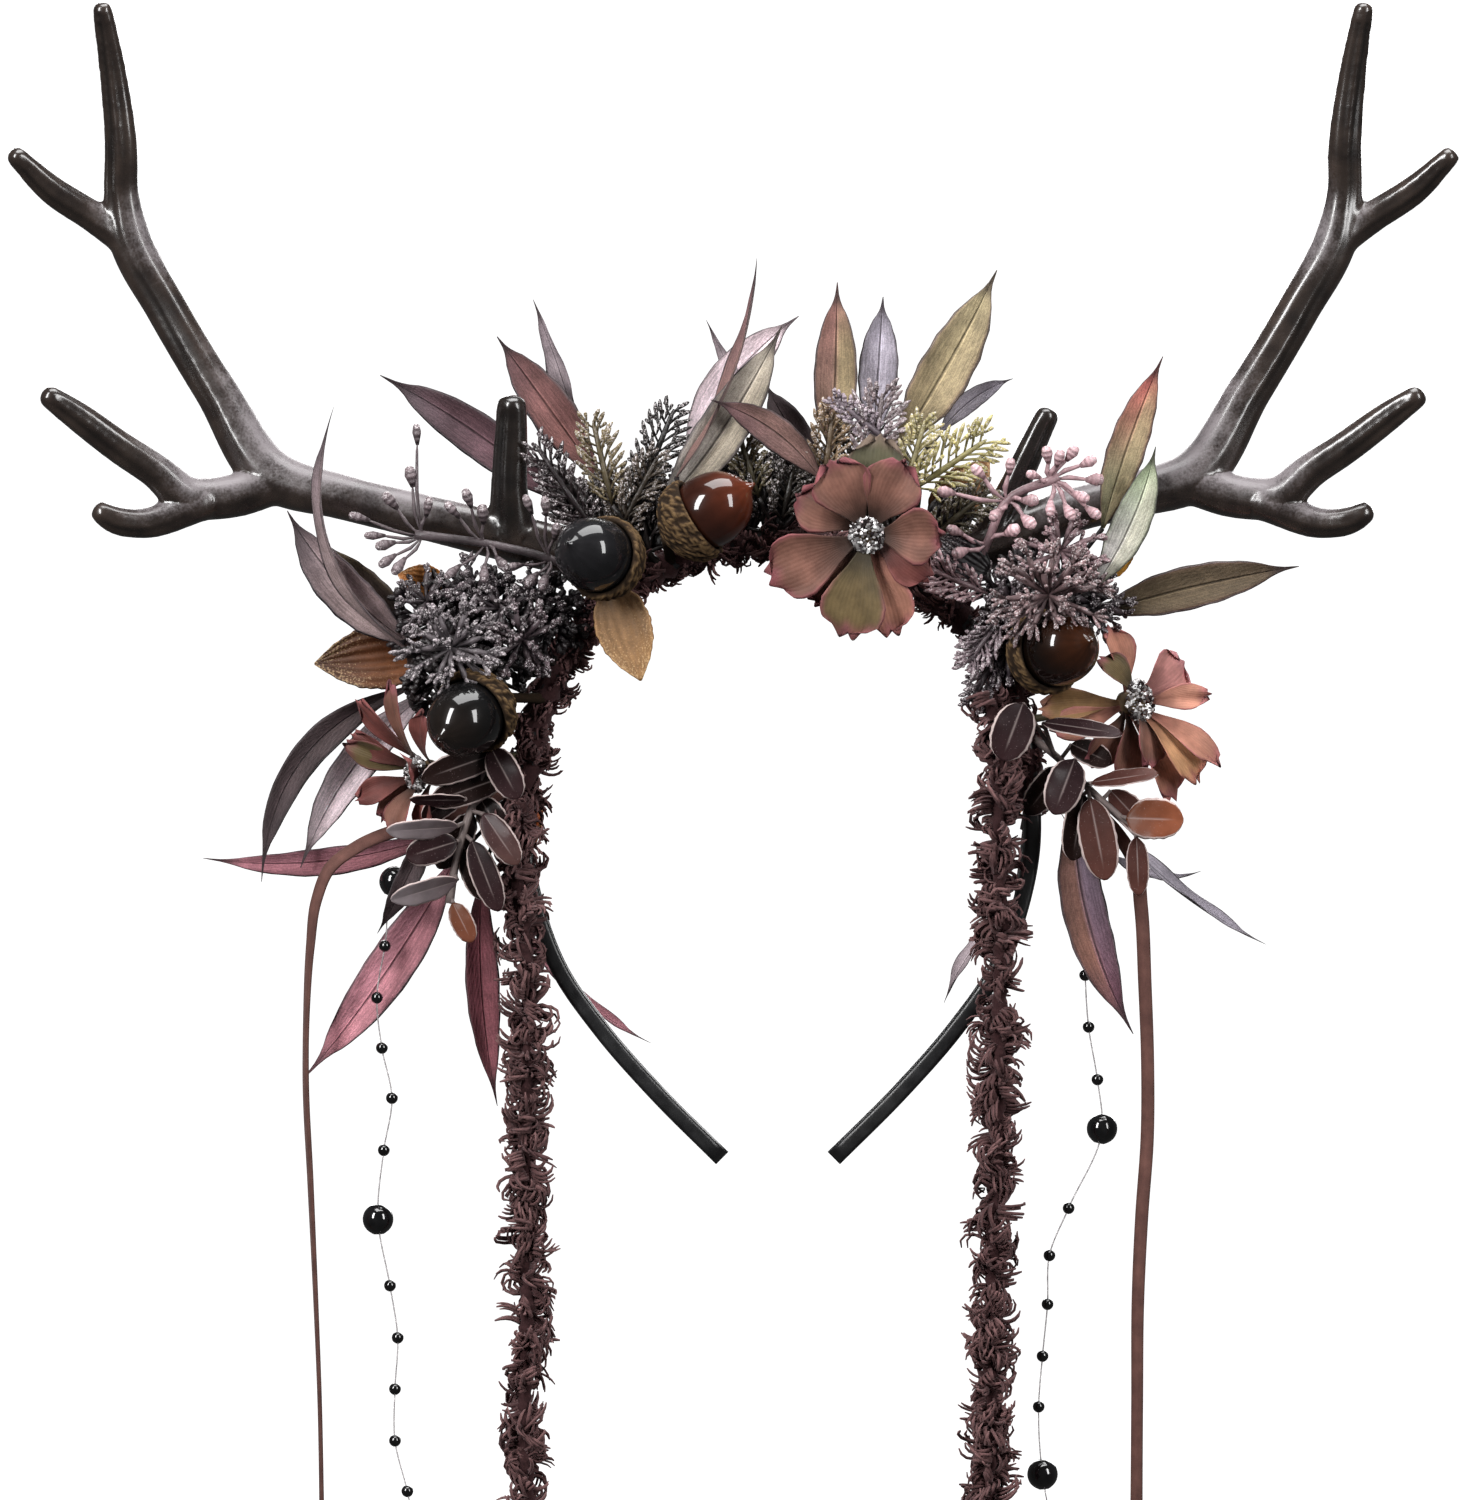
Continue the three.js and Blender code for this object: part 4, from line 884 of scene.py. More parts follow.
# Thin leaves of each kind. What a leaf's own row names goes before these.
PLAIN = {"bow": 0, "lift": 0, "roll": 0, "ribs": 0, "thick": 0.55, "length": 30, "columns": 11}
BLADES = {
    "willow": {**PLAIN, "outline": "willow", "fold": 0.42, "ripple": 0.45},
    "bract": {**PLAIN, "outline": "husk", "lift": 1.5, "fold": 0.42, "thick": 1.2, "ripple": 0.4,
              "length": 34, "columns": 31},
    "boxwood": {**PLAIN, "outline": "oval", "lift": 0.8, "fold": 0.2, "thick": 0.8, "ripple": 0.15,
                "columns": 15},
    "ribbed": {**PLAIN, "outline": "husk", "lift": 1.2, "fold": 0.3, "thick": 1.0, "ribs": 0.55,
               "ripple": 0.5, "length": 18, "columns": 31},
}
RAGGED = {"depth": 0.02, "rate": 140, "from": 0.9}
EDGE = 0.96
STEM = {"radius": 1.0, "stalk": 0.55, "fork": 0.36, "first": 0.6, "sides": 8, "tint": "#2f2725"}


def both_faces(columns):
    """Places across a thin sheet, 1 to -1 over its back and on over its front, with -1 for the back and 1
    for the front, and how full the sheet is there: a half circle that stays a little open at the edge."""
    v = np.linspace(1, -1, columns)
    place = np.concatenate([v, -v[1:-1]])
    back = np.concatenate([-np.ones(columns), np.ones(columns - 2)])
    return place, back, np.sqrt(1 - EDGE * place**2)


def blade(skin, kind, row, tint, start=0):
    """A thin leaf. Its middle line is a quadratic curve from base to tip, bent sideways by the bow and
    towards the front by the lift. At each share of the length the outline's width goes to both sides of
    it; the surface rises with the distance from the middle (the fold), with a ripple along the edges and
    with ribs, and the back lies one thickness behind the front, meeting it at the edge."""
    own = {**BLADES[kind], **row}
    base, tip, width = np.array(own["base"], float), np.array(own["tip"], float), own["width"]
    chord = unit(tip - base)
    across = unit(np.cross(chord, FRONT))
    bend = (base + tip) / 2 + 2 * own["bow"] * across + 2 * own["lift"] * np.cross(across, chord)
    t = np.linspace(0, 1, own["length"])[:, None]
    line = bent(base, bend, tip, t)
    way = unit((1 - t) * (bend - base) + t * (tip - bend))
    flat = unit(np.cross(way, FRONT))
    side = turned_by(flat, np.cross(way, flat), np.radians(-own["roll"]))
    normal = np.cross(side, way)
    place, back, full = both_faces(own["columns"])
    off = np.abs(place)
    half = np.interp(t, *OUTLINES[own["outline"]]) * width / 2
    ragged = 1 + RAGGED["depth"] * np.sin(t * RAGGED["rate"] + start) * (off > RAGGED["from"])
    ripple = own["ripple"] * np.sin(t * 15 + place * 1.3 + start) * off**2 * np.minimum(half / width * 4, 1)
    rise = half * own["fold"] * off**1.3 + ripple + own["ribs"] * np.cos(place * 20) * np.sin(np.pi * t)
    shell = own["thick"] / 2 * full * np.minimum(1, half * 2)
    rings = (line[:, None] + side[:, None] * (half * place * ragged)[..., None]
             + normal[:, None] * (rise + back * shell)[..., None])
    skin.loft(rings, base, tip, places(t, place, back), tint(t, place))


def stalk(skin, line, radius=STEM["stalk"], tint=STEM["tint"]):
    """A round stalk along a line of points, a little thicker at both ends."""
    line = np.asarray(line, float)
    line = spline(line, 4 * len(line)) if len(line) > 2 else np.linspace(line[0], line[1], 6)
    share = np.linspace(-1, 1, len(line))
    shade = np.broadcast_to(colour(tint), (len(line), 1, 3)) * (0.8 + 0.3 * np.sin(share * 9))[:, None, None]
    reference = clear_of(unit(line[-1] - line[0]))
    skin.loft(tube(line, radius * (1 + 0.22 * share**4), STEM["sides"], reference=reference), tint=shade)


# Leaf prints: the colour near the foot, near the tip, on the other half, and at the edge.
PRINTS = {
    "plum": ("#583f45", "#40363a", "#4b353a", "#383033"),
    "rust": ("#704b47", "#4f383a", "#614240", "#443234"),
    "mauve_grey": ("#9d9195", "#7f7277", "#94878c", "#6f6166"),
    "pink_grey": ("#93807f", "#665a5e", "#857273", "#5e5054"),
    "bark": ("#4d4038", "#5a4f3a", "#3a302d", "#6a5a3a"),
    "dusk": ("#443839", "#342a2c", "#3c3133", "#2c2526"),
    "rose": ("#85555c", "#97646d", "#9a6973", "#66404a"),
    "blush": ("#97636b", "#ad757e", "#af7984", "#724953"),
    "wine": ("#6c3c43", "#7a4950", "#60353c", "#4b2b32"),
    "lilac": ("#c9b8be", "#c0aeb3", "#d3c4ca", "#a28a8d"),
    "stone": ("#948d87", "#978e82", "#857b6a", "#6c625b"),
    "olive": ("#82745a", "#998c6e", "#897b60", "#937664"),
    "rose_olive": ("#6a5449", "#7f5a54", "#817556", "#6d5047"),
    "silver": ("#948e98", "#7c7680", "#8a848e", "#716b73"),
    "red_tip": ("#827d62", "#96504c", "#8a7e60", "#8f5a50"),
    "green_grey": ("#aba7a4", "#8b9879", "#a19f8e", "#788763"),
    "moss": ("#574b3b", "#4a3e31", "#514535", "#5f3c35"),
    "gold_plum": ("#635461", "#593943", "#6b4733", "#432930"),
    "brown_mauve": ("#775c57", "#63494b", "#82665f", "#543c3e"),
}
LEAF_TIP = "#2a2022"
# Willow sprays: where the stem meets the band, and leaves by foot, tip, bow, lift, width, roll and print.
SPRAYS = {
    "willow_top_left": ((-40, 5, -6), [
        ((-56, 9, 15), (-104, 14, 48.6), 2, 0, 12, 8, "plum"),
        ((-47, 8, 22), (-73.3, 9, 58.5), 0, 0, 12, -5, "rust"),
        ((-50, 12, 26), (-64, 16, 68.5), 1, 0, 8, 50, "mauve_grey"),
    ]),
    "willow_far_left": ((-59, -4, -30), [
        ((-95, -9, -24), (-114.7, -20, 39), -12, 3, 7, 62, "pink_grey"),
        ((-95, -6, -22), (-127, -13, 12.5), -3, 1, 12.5, 10, "pink_grey"),
        ((-93, -1, -21), (-118, -4, 5), -1, 0, 10, 0, "bark"),
    ]),
    "willow_low_left": ((-65, 2, -52), [
        ((-95, -3, -33), (-133.6, -14, -83.5), 11, 1, 8.5, 15, "dusk"),
        ((-91, 3, -34), (-124, -3, -80), 4, 0, 10.5, 0, "lilac"),
        ((-87, 4, -71), (-149.5, 0, -77.5), -4, 0, 7.5, 10, "rose"),
    ]),
    "willow_hanging_left": ((-65, -1, -58), [
        ((-84, 0, -78), (-123, -3, -134.5), -2, 0, 12.5, 0, "blush"),
        ((-90, -3, -68), (-104, -5, -97), -1, 10.5, 6.5, 10, "dusk"),
        ((-77, 1, -82), (-73, 1, -142), 2, 0, 9, 10, "wine"),
    ]),
    "willow_back_left": ((-65.5, 5, -59), [
        ((-70, 9, -92), (-33, 11, -126), 4, 0, 6, 60, "rose"),
    ]),
    "willow_top_middle": ((-24, 3, 3), [
        ((-26.3, -15, 21), (-5.5, -9, 78), 4.5, 0, 7, 70, "brown_mauve"),
        ((-24, 8, 28), (5.5, 13, 64), -3, 0, 12, 0, "lilac"),
        ((-31, -12, 12), (1, -10, 60.5), 2, 0, 13, 0, "stone"),
        ((-4, 10, 34), (-18.7, 13, 63), 0, 0, 5, 40, "mauve_grey"),
    ]),
    "willow_cross": ((8, 2, 4), [
        ((11, -10, 21), (-17.5, -17.5, 41), 3, 0, 9, 10, "brown_mauve"),
        ((11, 3, 24), (-3, 6, 46), -1, 0, 9, 0, "dusk"),
    ]),
    "willow_top_right": ((22, 3, 2), [
        ((14.5, 2, 26), (15.5, 6, 72.5), 0, 0, 11.5, 0, "rose_olive"),
        ((25, 7, 32), (27.5, 11, 69), 0, 0, 10.5, 0, "silver"),
        ((30, 0, 28), (57, 3, 75.5), 1, 0, 14, -5, "olive"),
        ((42, 5, 33), (61.4, 8, 47.5), -2, 0, 5.5, 0, "silver"),
    ]),
    "willow_right": ((57, -4, -26), [
        ((84, -10, 8), (99.6, -11, 52.5), -1, 0, 10, 0, "red_tip"),
        ((82, -13, -7), (97.5, -16, 29), 2, 0, 10, 0, "green_grey"),
    ]),
    "willow_right_side": ((59, 0, -32), [
        ((82, -4, -14), (135, -8, -1.8), -1, 0, 11.5, 0, "moss"),
    ]),
    "willow_low_right": ((65, 0, -56), [
        ((77, -1, -63), (92, -9, -123), 4, 0, 12, -10, "gold_plum"),
        ((86, 3, -68), (127, 1, -100), 3, 0, 7, 65, "silver"),
        ((86, 8, -76), (110.5, 10, -81), 4, 0, 5, 60, "silver"),
    ]),
    "willow_back_right": ((65.5, 5, -59), [
        ((62, 10, -90), (43.4, 11, -115.5), 2, 0, 6, -60, "mauve_grey"),
    ]),
}
LEAF_PHASE = 2.1


def printed(name):
    """A leaf's print: foot to tip along it, the other half on one side, and the edge's own colour."""
    near, far, other, edge = (colour(code) for code in PRINTS[name])

    def tint(along, across):
        along, across = np.broadcast_arrays(along, across)
        shade = blend(near, far, ease(0.2, 0.95, along))
        shade = blend(shade, other, 0.75 * ease(-0.05, 0.1, across) * (1 - ease(0.6, 1, along)))
        shade = blend(shade, edge, 0.7 * ease(0.75, 1, np.abs(across)))
        return blend(shade, colour(LEAF_TIP), 0.85 * ease(0.82, 0.92, along))

    return tint


def forked(skin, root, leaves):
    """A stem from the band part of the way to the middle of the leaves' feet, and on it, one after
    another, every leaf's own stalk."""
    root, feet = np.array(root, float), np.array([row["base"] for row in leaves], float)
    end = root + (feet.mean(0) - root) * STEM["fork"]
    stalk(skin, [root, end], STEM["radius"])
    share = STEM["first"] + (1 - STEM["first"]) / len(feet) * np.arange(len(feet))
    for foot, part in zip(feet, share):
        stalk(skin, [root + (end - root) * part, foot])


CLOTH = leaf_cloth()
for node, (root, table) in SPRAYS.items():
    skin = Skin()
    leaves = rows("base tip bow lift width roll print", table)
    forked(skin, root, leaves)
    for number, row in enumerate(leaves):
        blade(skin, "willow", row, printed(row["print"]), number * LEAF_PHASE + root[0])
    skin.piece(node, "leaf_cloth", CLOTH)

# Dry bracts: foot, tip, width, where the stalk meets the band, the tones at the foot and the tip, the height
# of the ribs, and the edge's brightness.
HUSKS = rows("name base tip width root near far ribs edge", [
    ("husk_far_left", (-91, 3, -24), (-120.5, 0, -27), 17, (-62, 3, -36), "#854f2b", "#4a3023", 0.34, 0.6),
    # The front bract's dark foot tone is painted shadow over its upper part.
    ("husk_front", (-43, -9, -8), (-35.5, -13, -31.5), 15, (-44, -4, -11), "#57422f", "#b08455", 0.14, 1.5),
    ("husk_low_left", (-66, 10, -56), (-65, 11, -77), 9, (-64, 5, -52), "#b8571f", "#a04a1f", 0.2, 0.6),
    ("husk_low_right", (64, 9.5, -50), (62, 11, -67), 9, (63, 5, -46), "#b8571f", "#b5602a", 0.2, 0.6),
    ("husk_top_right", (41, 4, 10), (55, 3, 26), 13, (37, 3, -3), "#6d4c30", "#9a6c44", 0.34, 0.6),
    ("husk_top_left", (-87, -7, -7), (-98.5, -9, -4), 9, (-58, -3, -30), "#b9752f", "#a86a35", 0.2, 0.6),
    ("husk_right", (87, -4, -4), (92.5, -6, 9), 6, (60, -3, -33), "#c98f35", "#c08a3a", 0.15, 0.6),
])
BRACT = husk()
MARGIN = 0.8


def graded(near, far, edge):
    """A tint that runs from foot to tip and goes over to the edge's brightness at the margin."""
    near, far = colour(near), colour(far)

    def tint(along, across):
        along, across = np.broadcast_arrays(along, across)
        return blend(near, far, along) * (1 - (1 - edge) * ease(MARGIN, 1, np.abs(across)))[..., None]

    return tint


for row in HUSKS:
    skin = Skin()
    stalk(skin, [row["root"], row["base"]])
    blade(skin, "bract", row, graded(row["near"], row["far"], row["edge"]))
    skin.piece(row["name"], "husk", BRACT)

# Flowers: centre, the way each faces, the stem's root, and the radius of the glittering heart.
FLOWERS = rows("name centre face root heart", [
    ("flower_front", (22.9, -25, 6), (-0.08, -1, -0.12), (23, -4, 2), 4.8),
    ("flower_left", (-93, -12, -55.5), (-0.8, -0.58, -0.1), (-64, -4, -50), 4.8),
    ("flower_right", (93, -10, -37), (0.8, -0.58, 0.13), (62, -4, -42), 6.0),
])
FLOWER = {"start": 2.7, "step": 3.2, "lift": 1.2, "stem": "#4a4432", "hub": "#5e4d38", "hubSides": 16}
HUB = (2.4, 3.2, 3.4, 3.2, 2.2)
PETAL = {"curl": 1.5, "thick": 0.5, "ruffle": 0.7, "cup": 0.26, "droop": 1.1, "crease": 0.35, "round": 0.14,
         "wavy": 0.03, "notch": 0.05, "columns": 25, "rows": 30}
CHIPS = {"count": 150, "dome": 0.55, "sunk": 0.42, "tilt": 1.35, "dull": "#8d7476", "bright": "#ffffff"}
# Dyes and painted shade: the colour at a petal's foot, dyed dark and darkened further by painted shade where
# the petals crowd near the centre, over its middle and at its margin.
DYES_AND_SHADE = {
    "rose": ("#382822", "#7b5549", "#82464e"), "olive": ("#3d3526", "#67573b", "#8a5157"),
    "peach": ("#75493f", "#b07b68", "#a86668"), "grey": ("#38352c", "#565340", "#6d5c52"),
    "deep": ("#3d211d", "#70403b", "#804a49"), "gold": ("#6a4636", "#b98b66", "#a8665f"),
    "pink": ("#926360", "#d59690", "#c38187"), "tan": ("#66492f", "#8d6d4a", "#98685a"),
}
# The petals of every whorl, by turn, length, width, lean and dye with painted shade.
PETALS = {
    "flower_front_back_petals": [(82, 26, 15, 2, "grey"), (150, 21, 14, 6, "rose"),
        (232, 23, 13, 4, "rose"), (284, 27, 15, 5, "peach"), (325, 20, 11, 12, "deep")],
    "flower_front_front_petals": [(115, 22, 16, 9, "rose"), (62, 22, 16, 10, "rose"),
        (0, 20, 15, 12, "rose"), (259, 27, 17, 5, "olive"), (203, 28, 17, 6, "rose")],
    "flower_left_back_petals": [(60, 20, 8, 22, "deep"), (110, 27, 7, 35, "deep"),
        (150, 23.5, 8, 42, "olive"), (228, 18, 9, 34, "rose"), (290, 16, 10, 20, "deep")],
    "flower_left_front_petals": [(88, 26, 6, 18, "rose"), (140, 21, 7, 30, "deep"),
        (205, 18, 7, 45, "deep"), (262, 17, 11, 28, "rose"), (20, 12, 10, 44, "deep")],
    "flower_right_back_petals": [(98, 21, 13, -5, "peach"), (175, 23, 9, -50, "tan"),
        (200, 21, 9, -50, "peach"), (255, 21, 14, -2, "rose"), (285, 28, 16, 14, "peach"),
        (232, 20, 11, -20, "rose")],
    "flower_right_front_petals": [(40, 17, 17, 28, "pink"), (0, 19, 7, 55, "peach"),
        (308, 27, 9, 32, "peach"), (292, 26, 16, 24, "gold"), (130, 16, 9, -10, "olive"),
        (258, 18, 13, 10, "rose")],
}


def petal(skin, centre, out, face, row, number):
    """A petal. Along it the place is the share times an end that falls away to the sides and has small
    notches; across it the place is the outline's width; it bends towards the face, its middle is cupped by
    the square of the place across, and its margin is ruffled by a sine that grows with the share's cube."""
    lean = np.radians(row["lean"])
    base = centre + out * FLOWER["start"]
    tip = centre + (out * np.cos(lean) + face * np.sin(lean)) * row["length"]
    chord = unit(tip - base)
    side = unit(np.cross(chord, face))
    normal = np.cross(side, chord)
    bend = (base + tip) / 2 + 2 * PETAL["curl"] * normal
    place, back, full = both_faces(PETAL["columns"])
    t = np.linspace(0, 1, PETAL["rows"])[:, None]
    end = (1 - PETAL["round"] * np.abs(place) ** 2.4 + PETAL["wavy"] * np.cos(place * 9 + number)
           - PETAL["notch"] * bell(place - 0.15, 0.12))
    line = bent(base, bend, tip, (t * (1 + (end - 1) * t**2))[..., None])
    half = np.interp(t, *OUTLINES["petal"]) * row["width"] / 2
    rise = (PETAL["cup"] * half * place**2 + PETAL["ruffle"] * t**3 * np.sin(place * 5.2 + number * 1.7)
            - PETAL["droop"] * t**4 * np.abs(np.sin(number * 1.3))
            + PETAL["crease"] * bell(place, 0.16) * t * (t - 1))
    shell = PETAL["thick"] / 2 * full * np.sqrt(np.clip(1.02 - t**6, 0, 1))
    rings = line + side * (half * place)[..., None] + normal * (rise + back * shell)[..., None]
    inner, middle, margin = (colour(code) for code in DYES_AND_SHADE[row["dye"]])
    far = t + 0 * place
    rim = np.maximum(ease(0.8, 1, far), ease(0.8, 1, np.abs(place)) * ease(0.25, 0.7, t))
    # The foot's dark colour is partly dye and partly painted shade where the petals crowd near the centre.
    tint = blend(blend(inner, middle, ease(0.1, 0.62, far)), margin, rim * 0.85)
    rimmed = np.maximum(np.abs(place) * (t < 1), ease(0.93, 1, far))
    skin.loft(rings, base, None, places(t, np.sign(place) * rimmed, back), tint)


def aligned(face):
    """A facing direction with its own right and up."""
    face = unit(np.array(face, float))
    right = unit(np.cross(UP, face))
    return face, right, np.cross(face, right)


def golden(face, right, up, count, tilt):
    """Directions spread evenly over a cap round the face: each is a golden angle on from the one before, and
    tilted from the face by the square root of its rank's share."""
    number = np.arange(count)
    lean = (tilt * np.sqrt((number + 0.5) / count))[:, None]
    return turned_by(face, turned_by(right, up, (GOLDEN * number)[:, None]), lean)


def chips(skin, centre, face, right, up, reach, dice):
    """Glitter: small eight-sided crystals spread over a low dome, each turned its own way."""
    count = CHIPS["count"]
    way = golden(face, right, up, count, CHIPS["tilt"])
    rise = (way @ face)[:, None]
    place = centre + (way - face * rise) * reach + face * (rise - CHIPS["sunk"]) * reach * CHIPS["dome"]
    size = dice.uniform(0.35, 0.8, count)[:, None]
    axis = unit(dice.normal(size=(count, 3)) + way)
    u = unit(np.cross(axis, dice.normal(size=(count, 3))))
    v = np.cross(axis, u)
    rings = place[:, None] + size[:, None] * turned_by(u[:, None], v[:, None], turns(4)[:, None])
    shine = dice.uniform(0, 1, count)[:, None, None]
    tint = blend(colour(CHIPS["dull"]), colour(CHIPS["bright"]), shine)
    skin.loft(rings[:, None], place - axis * size, place + axis * size, places(0.0, 0.0, shine), tint)


SATIN, GLITTER = petal_cloth(), glitter()
for row in FLOWERS:
    face, right, up = aligned(row["face"])
    centre = np.array(row["centre"], float)
    first = len(row["name"])
    for whorl, place in (("back", centre - face * FLOWER["step"]), ("front", centre)):
        node = f"{row['name']}_{whorl}_petals"
        skin = Skin()
        if whorl == "back":
            stalk(skin, [row["root"], place], STEM["radius"], FLOWER["stem"])
        for number, item in enumerate(rows("turn length width lean dye", PETALS[node]), first):
            petal(skin, place, turned_by(right, up, np.radians(item["turn"])), face, item, number)
        hub = np.linspace(place - face * 2, place + face, len(HUB))
        skin.loft(tube(hub, HUB, FLOWER["hubSides"], reference=clear_of(face)), tint=colour(FLOWER["hub"]))
        skin.piece(node, "petal_cloth", SATIN)
    skin = Skin()
    chips(skin, centre + face * FLOWER["lift"], face, right, up, row["heart"], np.random.default_rng(first))
    skin.piece(row["name"] + "_centre", "flower_centre", GLITTER, smooth=False)

# Acorns: the nut's middle, the way its tip points, the stem's root, and its tones at the base and the tip.
ACORNS = rows("name centre tip root near far", [
    ("acorn_black", (-47, -23, 0.8), (-0.5, -0.82, 0.2), (-40, -4, -8), "#151517", "#1c1b1d"),
    ("acorn_chestnut", (-18.2, -20, 12), (0.83, -0.25, 0.5), (-28, -4, 0), "#2d150e", "#572716"),
    ("acorn_left", (-80, -25, -41), (-0.5, -0.76, -0.4), (-61, -4, -36), "#0e0e0f", "#1c1613"),
    ("acorn_right", (71.8, -19.5, -23.5), (0.6, -0.75, 0.15), (58, -4, -30), "#0d0705", "#33190b"),
])
# Nut and cap: radius and height along the axis. The cap's rows are all kept where it bears scales.
NUT = [(0, -9.5), (3.6, -8.6), (6.4, -7), (8.6, -4), (9.5, -1), (9.5, 2), (8.9, 5), (7.7, 7.8), (6, 9.8),
       (3.8, 11.5), (1.9, 12.5), (0.9, 13.4), (0.3, 14.6)]
CAP = [(0.2, -13.5), (2.8, -13.1), (5.5, -12), (8.1, -10), (10, -7.6), (10.6, -5.2), (10.6, -3.2),
       (10.2, -2.2), (9.7, -2.4), (9.3, -3.8), (8.2, -6.4), (5, -9)]
SCALES = {"count": 420, "along": 1.5, "across": 0.55, "slant": 0.9, "height": 0.7, "outer": 0.66}
NUT_ROWS, NUT_SIDES = 38, 46
CAP_ROWS, CAP_SIDES = 96, 150
SCALY_ROWS, ROW_SKIP = 68, 6
CAP_KEPT = np.r_[0:SCALY_ROWS, SCALY_ROWS:CAP_ROWS:ROW_SKIP, CAP_ROWS - 1]
CAP_STALK = {"end": -13, "radius": 1.3}


def turned_profile(profile, count):
    """A profile of radius and height as an even line."""
    return spline(np.array([(r, 0, h) for r, h in profile], float), count)


def revolved(profile, centre, axis, count, sides, relief=0):
    """A profile of radius and height turned about an axis, with a relief added to the radius."""
    outline = turned_profile(profile, count)
    radius, height = np.maximum(outline[:, :1], 0.05), outline[:, 2:]
    u = unit(np.cross(clear_of(axis), axis))
    ring = turned_by(u, np.cross(axis, u), turns(sides)[:, None])
    return centre + axis * height[:, None] + (radius + relief)[..., None] * ring


def scale_relief(count, sides, dice):
    """The cap's scales: short slanted ridges scattered over its outside. For every ridge the way off its
    middle is turned by its slant and stretched; the relief is the highest of them at each point, and fades
    out inside the rim."""
    outline = turned_profile(CAP, count)
    run = np.linspace(0, length_of(outline), count)
    turn = turns(sides)
    place = np.sqrt(dice.uniform(0, 1, SCALES["count"])) * run[-1] * SCALES["outer"]
    middle = dice.uniform(0, 2 * np.pi, SCALES["count"])
    slant = SCALES["slant"] + dice.normal(0, 0.35, SCALES["count"])
    height = dice.uniform(0.6, 1, SCALES["count"])
    relief = np.zeros((count, sides))
    for at, angle, lean, top in zip(place, middle, slant, height):
        around = ((turn - angle + np.pi) % (2 * np.pi) - np.pi) * outline[:, :1]
        down = (run - at)[:, None]
        far = (((around * np.sin(lean) + down * np.cos(lean)) / SCALES["along"]) ** 2
               + ((around * np.cos(lean) - down * np.sin(lean)) / SCALES["across"]) ** 2)
        relief = np.maximum(relief, top * np.clip(1 - far, 0, 1))
    return relief * (1 - ease(SCALES["outer"], SCALES["outer"] + 0.06, np.linspace(0, 1, count)))[:, None]


LACQUERED, SCALY = nut_lacquer(), cap_wood()
for row in ACORNS:
    centre, axis = np.array(row["centre"], float), unit(np.array(row["tip"], float))
    share = np.linspace(0, 1, NUT_ROWS)[:, None]
    turn = np.linspace(0, 1, NUT_SIDES, endpoint=False)
    tint = blend(colour(row["near"]), colour(row["far"]), ease(0.45, 0.95, share) + 0 * turn)
    rings = revolved(NUT, centre, axis, NUT_ROWS, NUT_SIDES)
    skin = Skin().loft(rings, spot=places(share, turn, 0.0), tint=tint)
    skin.piece(row["name"] + "_nut", "nut_lacquer", LACQUERED)
    crest = scale_relief(CAP_ROWS, CAP_SIDES, np.random.default_rng(len(row["name"])))
    rings = revolved(CAP, centre, axis, CAP_ROWS, CAP_SIDES, crest * SCALES["height"])
    skin = Skin().loft(rings[CAP_KEPT], spot=places(0.0, 0.0, crest[CAP_KEPT]))
    stalk(skin, [row["root"], centre + axis * CAP_STALK["end"]], CAP_STALK["radius"])
    skin.piece(row["name"] + "_cap", "cap_wood", SCALY)

